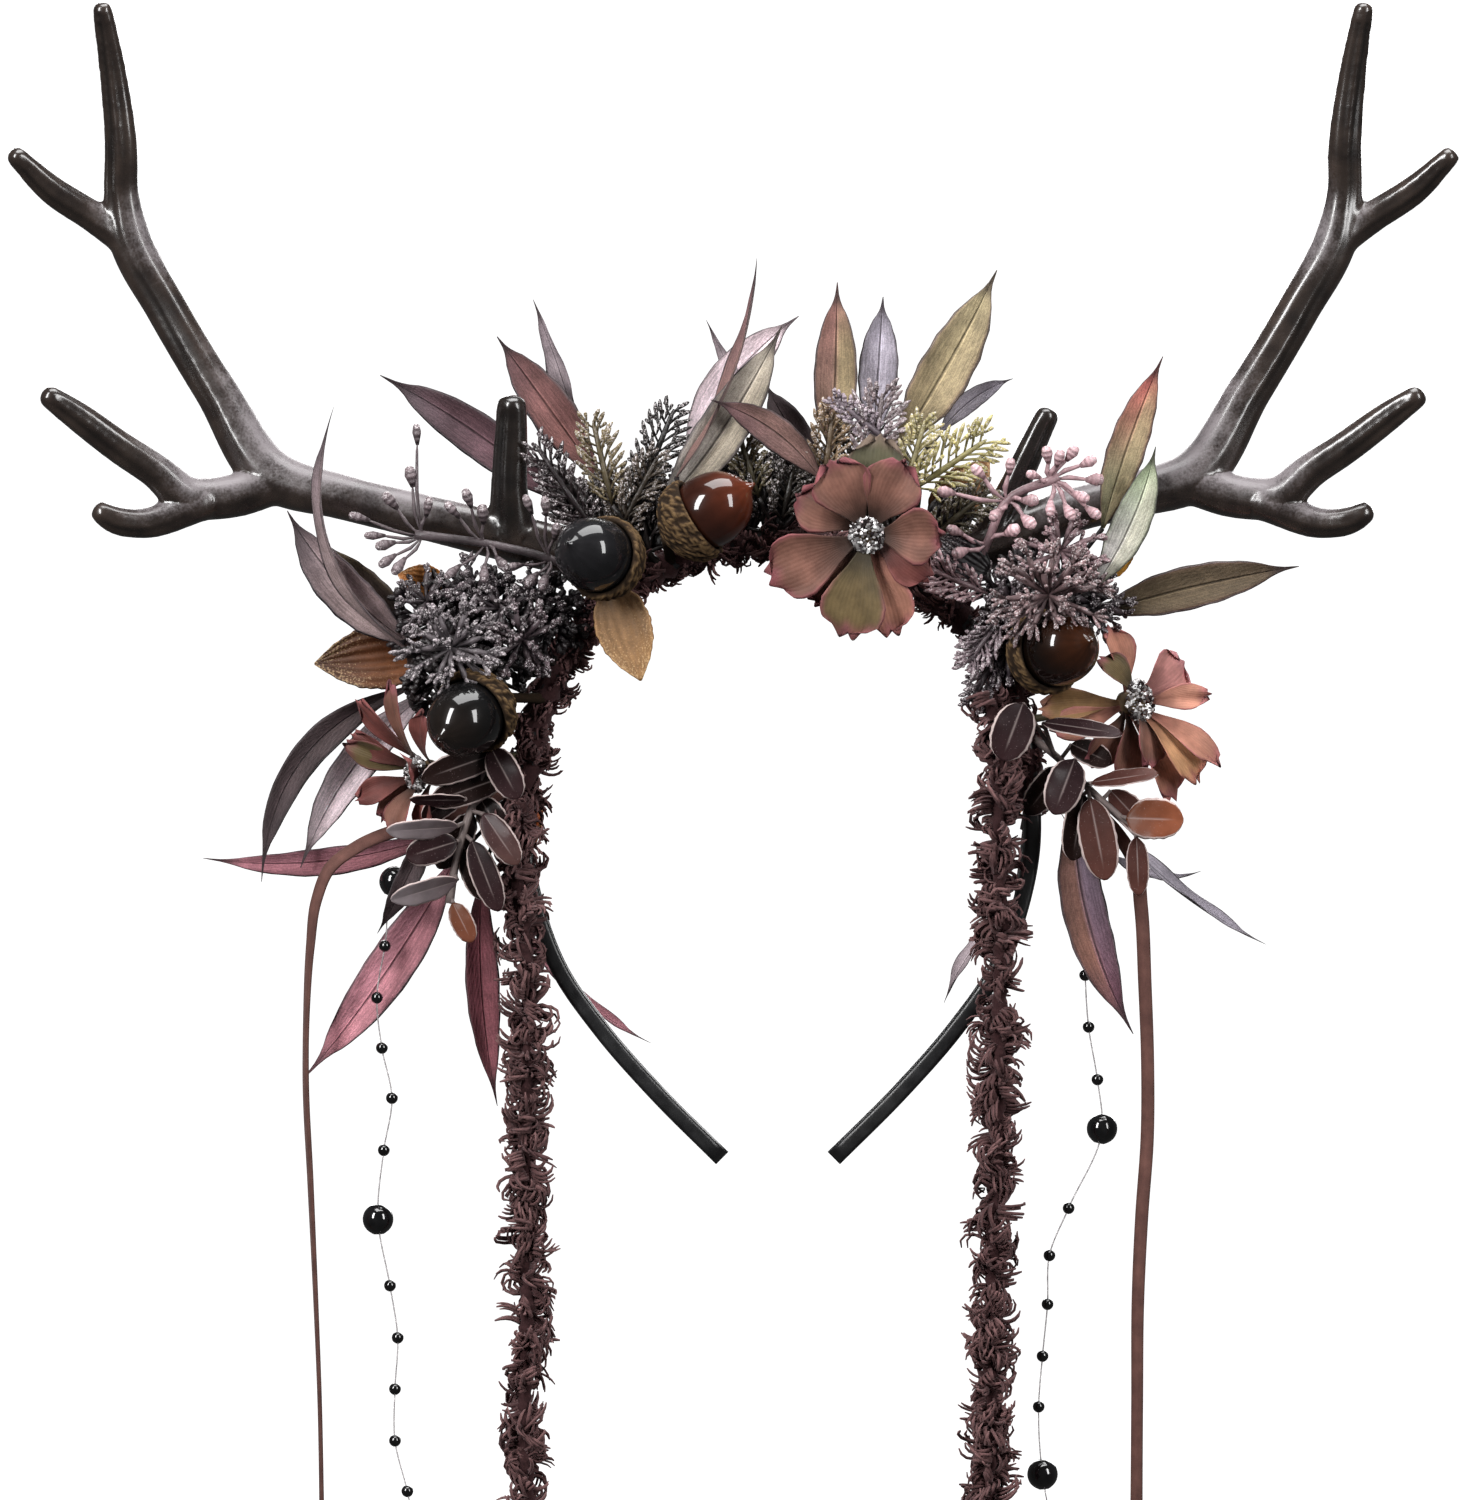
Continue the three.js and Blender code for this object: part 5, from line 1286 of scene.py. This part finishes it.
# Boxwood sprigs: a stem, and leaves by their stalk's foot, base, tip, width, roll and tone.
BOXWOOD = {
    "boxwood_left": ([(-68, 0, -55), (-76.5, -6, -59), (-79.5, -15, -65), (-83, -16, -77),
                      (-85, -15.5, -89)], [
        ((-79, -13.5, -64), (-74, -19, -49), (-67, -22, -62), 8.5, 0, "dark"),
        ((-79.5, -15, -65), (-76, -18, -66), (-67, -22, -79), 7.5, 0, "mauve"),
        ((-79, -14, -64), (-81, -18, -62), (-95, -22, -62), 5, 50, "dark"),
        ((-80.5, -15.2, -68), (-83, -19, -69), (-101, -24, -70), 7, 40, "pale"),
        ((-81.5, -15.5, -72), (-83, -18, -73), (-96, -19, -77), 8, 0, "dark"),
        ((-83.6, -15.8, -81), (-83, -17, -83), (-100, -19, -88), 8, 40, "pale"),
        ((-81.2, -15.5, -71), (-79, -18, -73), (-72, -20, -91), 7.5, 0, "dark"),
        ((-84.6, -15.6, -87), (-84, -16.5, -89), (-79, -18, -99), 6, 0, "red"),
        ((-80, -13, -66), (-79, -12, -66), (-88, -13, -80), 8, 10, "deep"),
        ((-79, -12, -64), (-77, -12, -62), (-70, -14, -73), 8, -10, "deep"),
        ((-82, -14, -74), (-81, -13, -75), (-76, -14, -88), 7, 0, "deep"),
        ((-79, -12, -64), (-82, -13, -60), (-92, -16, -67), 7, 20, "deep"),
        ((-78.5, -12, -62.5), (-72, -16, -50), (-92, -20, -57), 8, 0, "deep"),
        ((-79, -13, -64), (-70, -14, -56), (-90, -18, -63), 8, 0, "deep"),
        ((-78, -10, -61.5), (-74, -12, -46), (-84, -13, -58), 9, 0, "deep"),
    ]),
    "boxwood_right": ([(66, -2, -46), (72, -9, -51), (82, -14, -61), (93, -15, -71)], [
        ((72, -9, -51), (63, -20.5, -37.5), (57.5, -22.5, -52), 11, 0, "dark"),
        ((71.5, -8.6, -50.6), (68.5, -18, -42.5), (88.5, -25, -45.5), 6, 40, "dark"),
        ((76, -11, -55), (76.5, -15, -52), (71, -20, -66), 10, 0, "dark"),
        ((79, -12.5, -58), (81, -17, -58), (98, -21, -55.5), 6, 45, "brown"),
        ((80, -13, -59), (80.5, -16, -62), (84.5, -19, -83), 10, 0, "brown"),
        ((88, -14.5, -66.4), (90, -17, -67), (104.5, -20, -67.5), 11, 10, "orange"),
        ((92, -15, -70.2), (92.5, -16, -72), (93, -18, -87), 6, 0, "brown"),
        ((74, -10, -53), (73, -10, -54), (64, -12, -66), 8, 10, "deep"),
        ((80, -12, -60), (79, -11, -61), (76, -12, -78), 8, 0, "deep"),
        ((84, -13, -62), (86, -12, -60), (97, -15, -72), 8, 10, "brown"),
        ((73, -9, -52), (76, -11, -48), (86, -16, -53), 7, 15, "deep"),
    ]),
}
LEAF_TONES = {
    "dark": ("#1f1315", "#2d1c1e"), "mauve": ("#332123", "#4a3330"), "red": ("#55301f", "#6d4030"),
    "brown": ("#3a211d", "#4f302a"), "orange": ("#57301f", "#7d4731"), "deep": ("#160d0c", "#211412"),
    "pale": ("#625456", "#9a8f92"),
}
LEAF_EDGE = 0.9
GLOSSY = boxwood_leaf()
for node, (stem, table) in BOXWOOD.items():
    skin = Skin()
    stalk(skin, stem, STEM["radius"])
    for number, row in enumerate(rows("foot base tip width roll tone", table)):
        stalk(skin, [row["foot"], row["base"]])
        blade(skin, "boxwood", row, graded(*LEAF_TONES[row["tone"]], LEAF_EDGE), number)
    skin.piece(node, "boxwood_leaf", GLOSSY)


def spindles(skin, starts, ends, radius, thickest, tint, spread, sides=6, bow=0.0):
    """Tapered fingers from starts to ends: along each one the radius rises from a thin foot to its fullest
    at the thickest share and rounds off at the tip; a bow bends it sideways as a sine, which takes one ring
    more. The spread is the spot's range from foot to tip."""
    starts, ends = np.asarray(starts, float), np.asarray(ends, float)
    share = np.array([0, thickest * 0.5, thickest, 0.92, 1.0])
    profile = np.array([0.35, 0.6, 1, 0.72, 0.25])
    if not bow:
        share, profile = np.delete(share, 1), np.delete(profile, 1)
    line = starts[:, None] + (ends - starts)[:, None] * share[:, None]
    way = unit(ends - starts)
    reference = clear_of(way)
    line = line + unit(np.cross(way, reference))[:, None] * (np.sin(np.pi * share)[:, None] * bow)
    radius = np.broadcast_to(np.asarray(radius, float), len(starts))
    rings = tube(line, radius[:, None] * profile, sides, reference=reference[:, None])
    place = spread[0] + (spread[1] - spread[0]) * share
    tint = np.broadcast_to(tint, (len(starts), 3))
    skin.loft(rings, spot=places(place[:, None], 0.0, 0.0)[None], tint=tint[:, None, None])


# Umbels: where the stems leave the band, and stars by hub, face, reach, number of rays, tone and kind. The
# dense stars are near-black backing that partly stands in for shade inside the cluster.
UMBELS = {
    "umbel_left": ((-59, -4, -30), [
        ((-84, -25.5, -23), (-0.05, -1, -0.15), 15.5, 19, "#5d5659", "open"),
        ((-91, -14, -11), (-0.4, -1, 0.4), 11, 10, "#41393c", "open"),
        ((-78, -14, -9), (0, -1, 0.5), 12, 11, "#3b3336", "open"),
        ((-88, -8, -16), (-0.4, -1, 0), 15, 24, "#211b1d", "dense"),
        ((-76, -7, -15), (0, -1, 0), 15, 26, "#1e191a", "dense"),
        ((-84, -10, -30), (-0.2, -1, -0.2), 15, 26, "#1e191a", "dense"),
        ((-71, -7, -26), (0.1, -1, -0.1), 11, 18, "#1c1718", "dense"),
    ]),
    "umbel_left_inner": ((-57, -4, -28), [
        ((-66, -17, -21), (0.3, -1, -0.2), 12, 13, "#4d4145", "open"),
        ((-72, -16, -13), (0, -1, 0.3), 11, 11, "#3e3639", "open"),
        ((-60, -7, -15), (0.3, -1, 0), 13, 22, "#1f191b", "dense"),
        ((-63, -11, -9), (0.3, -1, 0.4), 10, 10, "#352d30", "open"),
    ]),
    "umbel_right": ((58, -4, -28), [
        ((69.5, -25.5, -9.5), (0.1, -1, -0.3), 18, 26, "#6b5758", "open"),
        ((73, -16, 2), (0.2, -1, 0.4), 13, 14, "#765f63", "open"),
        ((69, -7, -10), (0, -1, 0), 17, 28, "#241e20", "dense"),
        ((60, -6, -22), (-0.2, -1, -0.1), 12, 18, "#1c1718", "dense"),
        ((82, -9, -12), (0.5, -1, -0.3), 12, 14, "#3a3236", "open"),
        ((60, -13, -12), (-0.5, -1, -0.1), 12, 12, "#463c40", "open"),
        ((59, -13, -24), (-0.4, -1, -0.4), 10, 10, "#3d3539", "open"),
    ]),
}
UMBEL = {"spread": 1.5, "flat": 0.5, "ray": 0.85, "fullest": 0.7, "fresh": 1.25, "end": 0.97}
# A rare finger is made brighter by the bright factor, as a painted highlight.
FINGER = {"fullest": 0.75, "rare": 0.86, "bright": 1.7}
# Each kind's last value ends the fingers' spot, and so sets how much frost and painted glint shows near their
# tips.
STAR_KINDS = {"open": {"bunch": 6, "along": 4, "radius": 0.6, "sides": 5, "frost_and_glint": 1.0},
              "dense": {"bunch": 9, "along": 5, "radius": 0.85, "sides": 4, "frost_and_glint": 0.5}}
MOULDED = spray_plastic()


def star(skin, row, dice):
    """Rays spread over a flattened cap by the golden angle; each ends in a bunch of blunt fingers that fan
    out round it, and bears a few more along its outer part. Now and then a finger gets a painted highlight."""
    face, right, up = aligned(row["face"])
    hub = np.array(row["hub"], float)
    kind = STAR_KINDS[row["kind"]]
    count, many = row["rays"], kind["bunch"] + kind["along"]
    way = golden(face, right, up, count, UMBEL["spread"])
    way = unit(way + dice.normal(0, 0.08, way.shape))
    way = way - face * (way @ face)[:, None] * UMBEL["flat"]
    reach = row["reach"] * dice.uniform(0.6, 0.78, count)[:, None]
    tone = colour(row["tone"])
    spindles(skin, np.repeat(hub[None], count, 0), hub + way * reach, UMBEL["ray"], UMBEL["fullest"],
             tone * UMBEL["fresh"], (0, 0.35))
    part = np.concatenate([np.full(kind["bunch"], UMBEL["end"]), np.linspace(0.4, 0.85, kind["along"])])
    part = np.tile(part, count)[:, None]
    lead = np.repeat(way, many, 0)
    foot = hub + lead * np.repeat(reach, many, 0) * part
    turn = (GOLDEN * np.arange(len(part)) + dice.uniform(0, 1, len(part)))[:, None]
    u = unit(np.cross(lead, unit(lead + dice.normal(0, 1, lead.shape))))
    lean = turned_by(lead, turned_by(u, np.cross(lead, u), turn), dice.uniform(0.1, 0.8, len(part))[:, None])
    size = (dice.uniform(0.2, 0.36, len(part)) * row["reach"])[:, None]
    shade = tone * dice.uniform(0.55, 1.4, part.shape)
    # Painted highlight on a rare finger.
    shade = shade * np.where(dice.uniform(0, 1, part.shape) > FINGER["rare"], FINGER["bright"], 1)
    spindles(skin, foot, foot + lean * size, kind["radius"], FINGER["fullest"], shade, (0.3, kind["frost_and_glint"]),
             kind["sides"])


for seed, (node, (root, table)) in enumerate(UMBELS.items(), 21):
    dice = np.random.default_rng(seed)
    skin = Skin()
    for row in rows("hub face reach rays tone kind", table):
        stalk(skin, [root, row["hub"]])
        star(skin, row, dice)
    skin.piece(node, "spray_plastic", MOULDED)

# Bud sprays: a stem, and from each of its nodes the tips of the buds that it bears.
BUD_SPRAYS = {
    "buds_left": {
        "tone": "#63575a", "bud": 1.35, "long": 5.2, "neck": 0.5,
        "stem": [(-45, -5, -7), (-59, -12, 0), (-75.7, -13, 4), (-94, -14, 6.3)],
        "buds": [
            ((-92, -14, 6), [(-102, -16, 17), (-111, -15, 11.5), (-104, -18, 3), (-103, -19, -2),
                (-99.5, -18, -4), (-107, -16, 6), (-93.6, -14, 35), (-90, -17, 16), (-95.5, -14, 24)]),
            ((-75.7, -13, 4), [(-86, -17, 14.5), (-81, -19, 18), (-76.5, -18, 14), (-70, -19, -3),
                (-86, -18, -5), (-76, -20, -6)]),
            ((-59, -12, 0), [(-65.5, -17, 16.5), (-60.3, -20, 16), (-57, -20, 9), (-70.5, -18, -2.5),
                (-65, -19, -7), (-61, -20, -8)]),
        ],
    },
    "buds_right": {
        "tone": "#b9969b", "bud": 1.5, "long": 4.4, "neck": 0.7,
        "stem": [(46, -5, -12), (54, -14, 4), (59, -17, 15), (72.5, -18, 21)],
        "buds": [
            ((59, -17, 15), [(60, -20, 26), (41, -18, 17.5), (50, -20, 24)]),
            ((54, -14, 4), [(43.5, -18, 8), (45, -18, 1), (62, -20, 8)]),
            ((59, -17, 15), [(66, -21, 8), (55, -21, 10), (67, -21, 15)]),
            ((70.5, -18, 20), [(69, -20, 29), (73, -21, 28), (77, -20, 29), (82, -20, 26), (84, -19, 20.5),
                (80, -22, 15), (76, -22, 10), (83, -21, 10.5), (70, -22, 11), (64, -21, 22)]),
        ],
    },
}
BUD = {"stem": 1.1, "neckTone": 0.9, "bow": 0.8, "sunk": 0.4, "sides": 10}


def bud_spray(node, spray, seed):
    """A stem, and at every node thin stalks that each end in an oval bud."""
    dice = np.random.default_rng(seed)
    tone = colour(spray["tone"])
    skin = Skin()
    stalk(skin, spray["stem"], BUD["stem"], spray["tone"])
    pairs = [(start, tip) for start, tips in spray["buds"] for tip in tips]
    nodes, tips = (np.array(x, float) for x in zip(*pairs))
    reach = np.linalg.norm(tips - nodes, axis=1, keepdims=True)
    way = (tips - nodes) / reach
    neck = tips - way * np.minimum(reach * 0.5, spray["long"])
    spindles(skin, nodes, neck, spray["neck"], 0.5, tone * BUD["neckTone"], (0, 0.4), bow=BUD["bow"])
    radius = spray["bud"] * dice.uniform(0.85, 1.2, len(tips))
    shade = tone * dice.uniform(0.75, 1.25, (len(tips), 1))
    spindles(skin, neck - way * BUD["sunk"], tips, radius, 0.58, shade, (0.1, 0.75), BUD["sides"])
    skin.piece(node, "spray_plastic", MOULDED)


for seed, (node, spray) in enumerate(BUD_SPRAYS.items(), 31):
    bud_spray(node, spray, seed)

# Fern sprigs: where the stem meets the band, and fronds by kind, base, tip, width and tone. The near-black
# fronds are dark fillers that partly stand in for shade deep in the cluster.
FERNS = {
    "fern_left": ((-31, -4, -1), [
        ("comb", (-48, -9, 8), (-63, -10, 30), 15, "#2d2426"),
        ("ribbed", (-50, -5, 9), (-62, -6, 26), 11, "#332a2b"),
        ("comb", (-43, -8, 14), (-48, -9, 36), 15, "#63573f"),
        ("comb", (-36, -7, 17), (-27, -8, 39), 16, "#1b1816"),
        ("comb", (-44, -6, 3), (-57, -7, 13), 12, "#362e2e"),
        ("comb", (-39, -5, 4), (-41, -6, 23), 13, "#4a4038"),
        ("comb", (-33, -5, 6), (-21, -6, 22), 14, "#332d2c"),
        ("comb", (-40, -8, 10), (-31, -9, 27), 13, "#3f362d"),
        ("ribbed", (-42, -3, 1), (-47, -3, 24), 12, "#2b2423"),
        ("ribbed", (-33, -3, 3), (-33, -3, 27), 12, "#262020"),
        ("ribbed", (-26, -3, 5), (-19, -3, 25), 11, "#221d1d"),
    ]),
    "fern_middle": ((0, -4, 5), [
        ("ribbed", (-9, -3, 7), (-9, -3, 29), 12, "#191613"),
        ("ribbed", (0, -3, 8), (2, -3, 31), 12, "#1a1713"),
        ("ribbed", (9, -3, 8), (12, -3, 30), 11, "#1f1a15"),
        ("comb", (-5, -7, 16), (-11, -9, 35), 14, "#4f4731"),
        ("comb", (12, -10, 20), (14, -11, 38), 15, "#6d5a44"),
        ("comb", (-8, -5, 8), (-16, -6, 24), 13, "#201c1a"),
        ("comb", (1, -6, 10), (5, -7, 28), 13, "#2b2620"),
        ("comb", (-4, -5, 9), (-4, -6, 26), 12, "#231f1a"),
    ]),
    "fern_right": ((30, -3, 0), [
        ("comb", (24, -10, 22), (27, -11, 43), 18, "#6d6062"),
        ("comb", (35, -9, 18), (54, -10, 31), 18, "#988f5d"),
        ("comb", (33, -9, 18), (38, -10, 36), 13, "#9e946a"),
        ("comb", (29, -11, 30), (14, -13, 42), 9, "#7d7078"),
        ("ribbed", (30, -3, 6), (33, -3, 29), 12, "#2f2a1e"),
        ("ribbed", (40, -4, 4), (50, -4, 20), 12, "#2b2624"),
        ("comb", (20, -7, 14), (18, -8, 32), 13, "#4c4338"),
        ("comb", (40, -6, 6), (55, -7, 18), 13, "#57503c"),
    ]),
    "fern_low_right": ((55, -4, -22), [
        ("comb", (54, -14, -9), (38, -15, -2), 13, "#9d8084"),
        ("comb", (57, -15, -16), (49, -16, -27), 13, "#6d5f64"),
        ("ribbed", (54, -12, -3), (40, -13, 6), 10, "#454144"),
        ("comb", (57, -11, -8), (46, -12, 3), 12, "#4a4043"),
        ("comb", (58, -11, -22), (50, -12, -37), 12, "#4d4448"),
    ]),
}
FROND = {"rib": 0.9, "ribTone": 0.8, "pairs": 9, "slant": 0.66, "radius": 0.62, "reach": 0.66, "fullest": 0.8,
         "bow": 0.6, "side": 0.34, "sideRadius": 0.85, "sideTone": 1.1, "fork": 0.55}
BROAD = {"foot": 0.6, "edge": 1.2}


def comb(skin, row, dice):
    """A frond: a rib, blunt leaflets in pairs along it that lean towards the tip and shorten as the outline
    narrows, and on every leaflet a shorter finger on either side."""
    base, tip = np.array(row["base"], float), np.array(row["tip"], float)
    rib = unit(tip - base)
    side = unit(np.cross(rib, FRONT))
    tone = colour(row["tone"])
    spindles(skin, base[None], tip[None], FROND["rib"], 0.3, tone * FROND["ribTone"], (0, 0.6))
    share = np.repeat(np.linspace(0.04, 0.9, FROND["pairs"]), 2)[:, None]
    hand = np.tile([1.0, -1.0], FROND["pairs"])[:, None]
    foot = base + (tip - base) * share
    lean = dice.uniform(-0.12, 0.12, share.shape) + FROND["slant"] + 0.25 * (0.5 - share)
    way = unit(turned_by(rib, side * hand, lean) + FRONT * dice.uniform(-0.1, 0.5, share.shape))
    size = row["width"] * FROND["reach"] * np.sin(np.pi * (0.26 + 0.6 * share)) ** 0.8
    size = size * dice.uniform(0.85, 1.1, share.shape)
    shade = tone * dice.uniform(0.75, 1.3, share.shape)
    spindles(skin, foot, foot + way * size, FROND["radius"], FROND["fullest"], shade, (0.1, 0.9),
             bow=FROND["bow"])
    wing = np.tile([1.0, -1.0], len(share))[:, None]
    lead, reach, root = (np.repeat(x, 2, 0) for x in (way, size, foot))
    start = root + lead * reach * dice.uniform(0.25, 0.55, wing.shape)
    fork = turned_by(lead, unit(np.cross(lead, FRONT)) * wing, FROND["fork"])
    spindles(skin, start, start + fork * reach * FROND["side"], FROND["radius"] * FROND["sideRadius"],
             FROND["fullest"], np.repeat(shade, 2, 0) * FROND["sideTone"], (0.35, 1))


def ribbed(skin, row, dice):
    """A broad leaf with deep ribs along it, darker at its foot."""
    dark = "#%02x%02x%02x" % tuple((channels(row["tone"]) * BROAD["foot"]).astype(int))
    blade(skin, "ribbed", row, graded(dark, row["tone"], BROAD["edge"]), dice.uniform(0, 6))


for seed, (node, (root, table)) in enumerate(FERNS.items(), 41):
    dice = np.random.default_rng(seed)
    skin = Skin()
    fronds = rows("kind base tip width tone", table)
    forked(skin, root, fronds)
    for row in fronds:
        {"comb": comb, "ribbed": ribbed}[row["kind"]](skin, row, dice)
    skin.piece(node, "spray_plastic", MOULDED)

# Bead strings: the thread's points, with the radius of the bead that sits there, if any.
BIG, SMALL = 4.0, 1.55
THREAD = {"radius": 0.2, "sides": 8, "steps": 150}
BEAD_STRINGS = {
    "bead_string_left": [
        (-71.3, -1, -62, 0), (-82, -4, -70, 0), (-92, -6.5, -75, 0), (-99.4, -8, -83.5, BIG),
        (-101.9, -8, -100.2, SMALL), (-104, -8, -113.6, SMALL), (-102.7, -8, -126.6, SMALL),
        (-100.1, -8, -139.6, SMALL), (-102.2, -8, -153.1, SMALL), (-103.7, -8, -171, BIG),
        (-100.6, -8, -188.2, SMALL), (-98.6, -8, -201.7, SMALL), (-99.3, -8, -215, SMALL),
        (-99.3, -8, -228.4, SMALL), (-96.1, -8, -241.5, SMALL), (-94.4, -8, -250, 0)],
    "bead_string_right": [
        (71.3, 3, -62, 0), (76, 4, -70, 0), (79.3, 4, -81, SMALL), (79.6, 4, -94.5, SMALL),
        (80, 4, -108, SMALL), (80.9, 4, -121.5, SMALL), (83.2, 4, -135.2, SMALL), (84.4, 4, -148, BIG),
        (75.7, 4, -168.7, SMALL),
        (70.7, 4, -181, SMALL), (70.2, 4, -193.7, SMALL), (68.9, 4, -207.2, SMALL), (67.9, 4, -220.4, SMALL),
        (68.9, 4, -238, BIG), (71, 4, -250, 0)],
}
BEAD = [(0.14, -0.97), (0.22, -0.99), (0.5, -0.87), (0.87, -0.5), (1, 0), (0.87, 0.5), (0.5, 0.87),
        (0.22, 0.99), (0.14, 0.97)]
BEAD_ROWS, BEAD_SIDES = 16, 26
POLISHED, CLEAR = bead(), thread()
for node, table in BEAD_STRINGS.items():
    knots = np.array(table, float)
    line = spline(knots[:, :3], THREAD["steps"])
    way = unit(np.gradient(knots[:, :3], axis=0))
    skin = Skin()
    skin.loft(tube(line, THREAD["radius"], THREAD["sides"]), paint=1)
    for knot, axis in zip(knots, way):
        if knot[3]:
            profile = [(r * knot[3], h * knot[3]) for r, h in BEAD]
            skin.loft(revolved(profile, knot[:3], axis, BEAD_ROWS, BEAD_SIDES))
    skin.piece(node, "bead", POLISHED, CLEAR)

# The studio: a pale round room, and soft boxes to the left, the right, above and behind, in metres.
STUDIO = {"floor": -420, "inner": 100, "flat": 4000, "bend": 2000, "bendSteps": 12, "top": 9000, "sides": 48,
          "ambient": 0.07}
WHITE = (1, 1, 1, 1)
PAPER = (0.9, 0.9, 0.9, 1)
AIM = (0.0, 0.0, -0.02)
LAMPS = rows("name place size power", [
    ("left_box", (-1.1, -1.3, 0.7), (0.4, 1.2), 38),
    ("right_box", (1.2, -1.2, 0.5), (0.4, 1.2), 20),
    ("top_box", (0.1, -0.2, 1.5), (1.4, 0.9), 30),
    ("back_box", (0.2, 1.7, 0.7), (1.6, 1.2), 32),
])


def room():
    """A floor that curves up into a wall all round: a flat run, a quarter circle and a straight rise, turned
    about the upright line."""
    bend = np.linspace(0, np.pi / 2, STUDIO["bendSteps"])
    wall = STUDIO["flat"] + STUDIO["bend"]
    out = np.concatenate([[STUDIO["inner"]], STUDIO["flat"] + STUDIO["bend"] * np.sin(bend), [wall]])[:, None]
    up = np.concatenate([[0], STUDIO["bend"] * (1 - np.cos(bend)), [STUDIO["top"]]]) + STUDIO["floor"]
    around = turns(STUDIO["sides"])
    mesh = Skin().loft(places(out * np.cos(around), out * np.sin(around), up[:, None])).mesh("room")
    paper = Finish("paper", Roughness=0.9, Base_Color=PAPER, Emission_Color=WHITE, Emission_Strength=1.0)
    mesh.materials.append(paper.material)
    made = placed("room", mesh)
    made.visible_diffuse = made.visible_glossy = made.visible_shadow = False


def soft_box(name, place, size, power):
    """A rectangular area light at a place, turned to the crown."""
    light = bpy.data.lights.new(name, "AREA")
    light.shape, light.size, light.size_y, light.energy = "RECTANGLE", *size, power
    lamp = placed(name, light)
    lamp.location = place
    way = lamp.location - type(lamp.location)(AIM)
    lamp.rotation_euler = way.to_track_quat("Z", "Y").to_euler()


room()
for row in LAMPS:
    soft_box(**row)
world = bpy.data.worlds.new("studio")
world.use_nodes = True
backdrop = world.node_tree.nodes["Background"].inputs
backdrop["Color"].default_value = WHITE
backdrop["Strength"].default_value = STUDIO["ambient"]
bpy.context.scene.world = world
bpy.context.scene.view_settings.view_transform = "Standard"
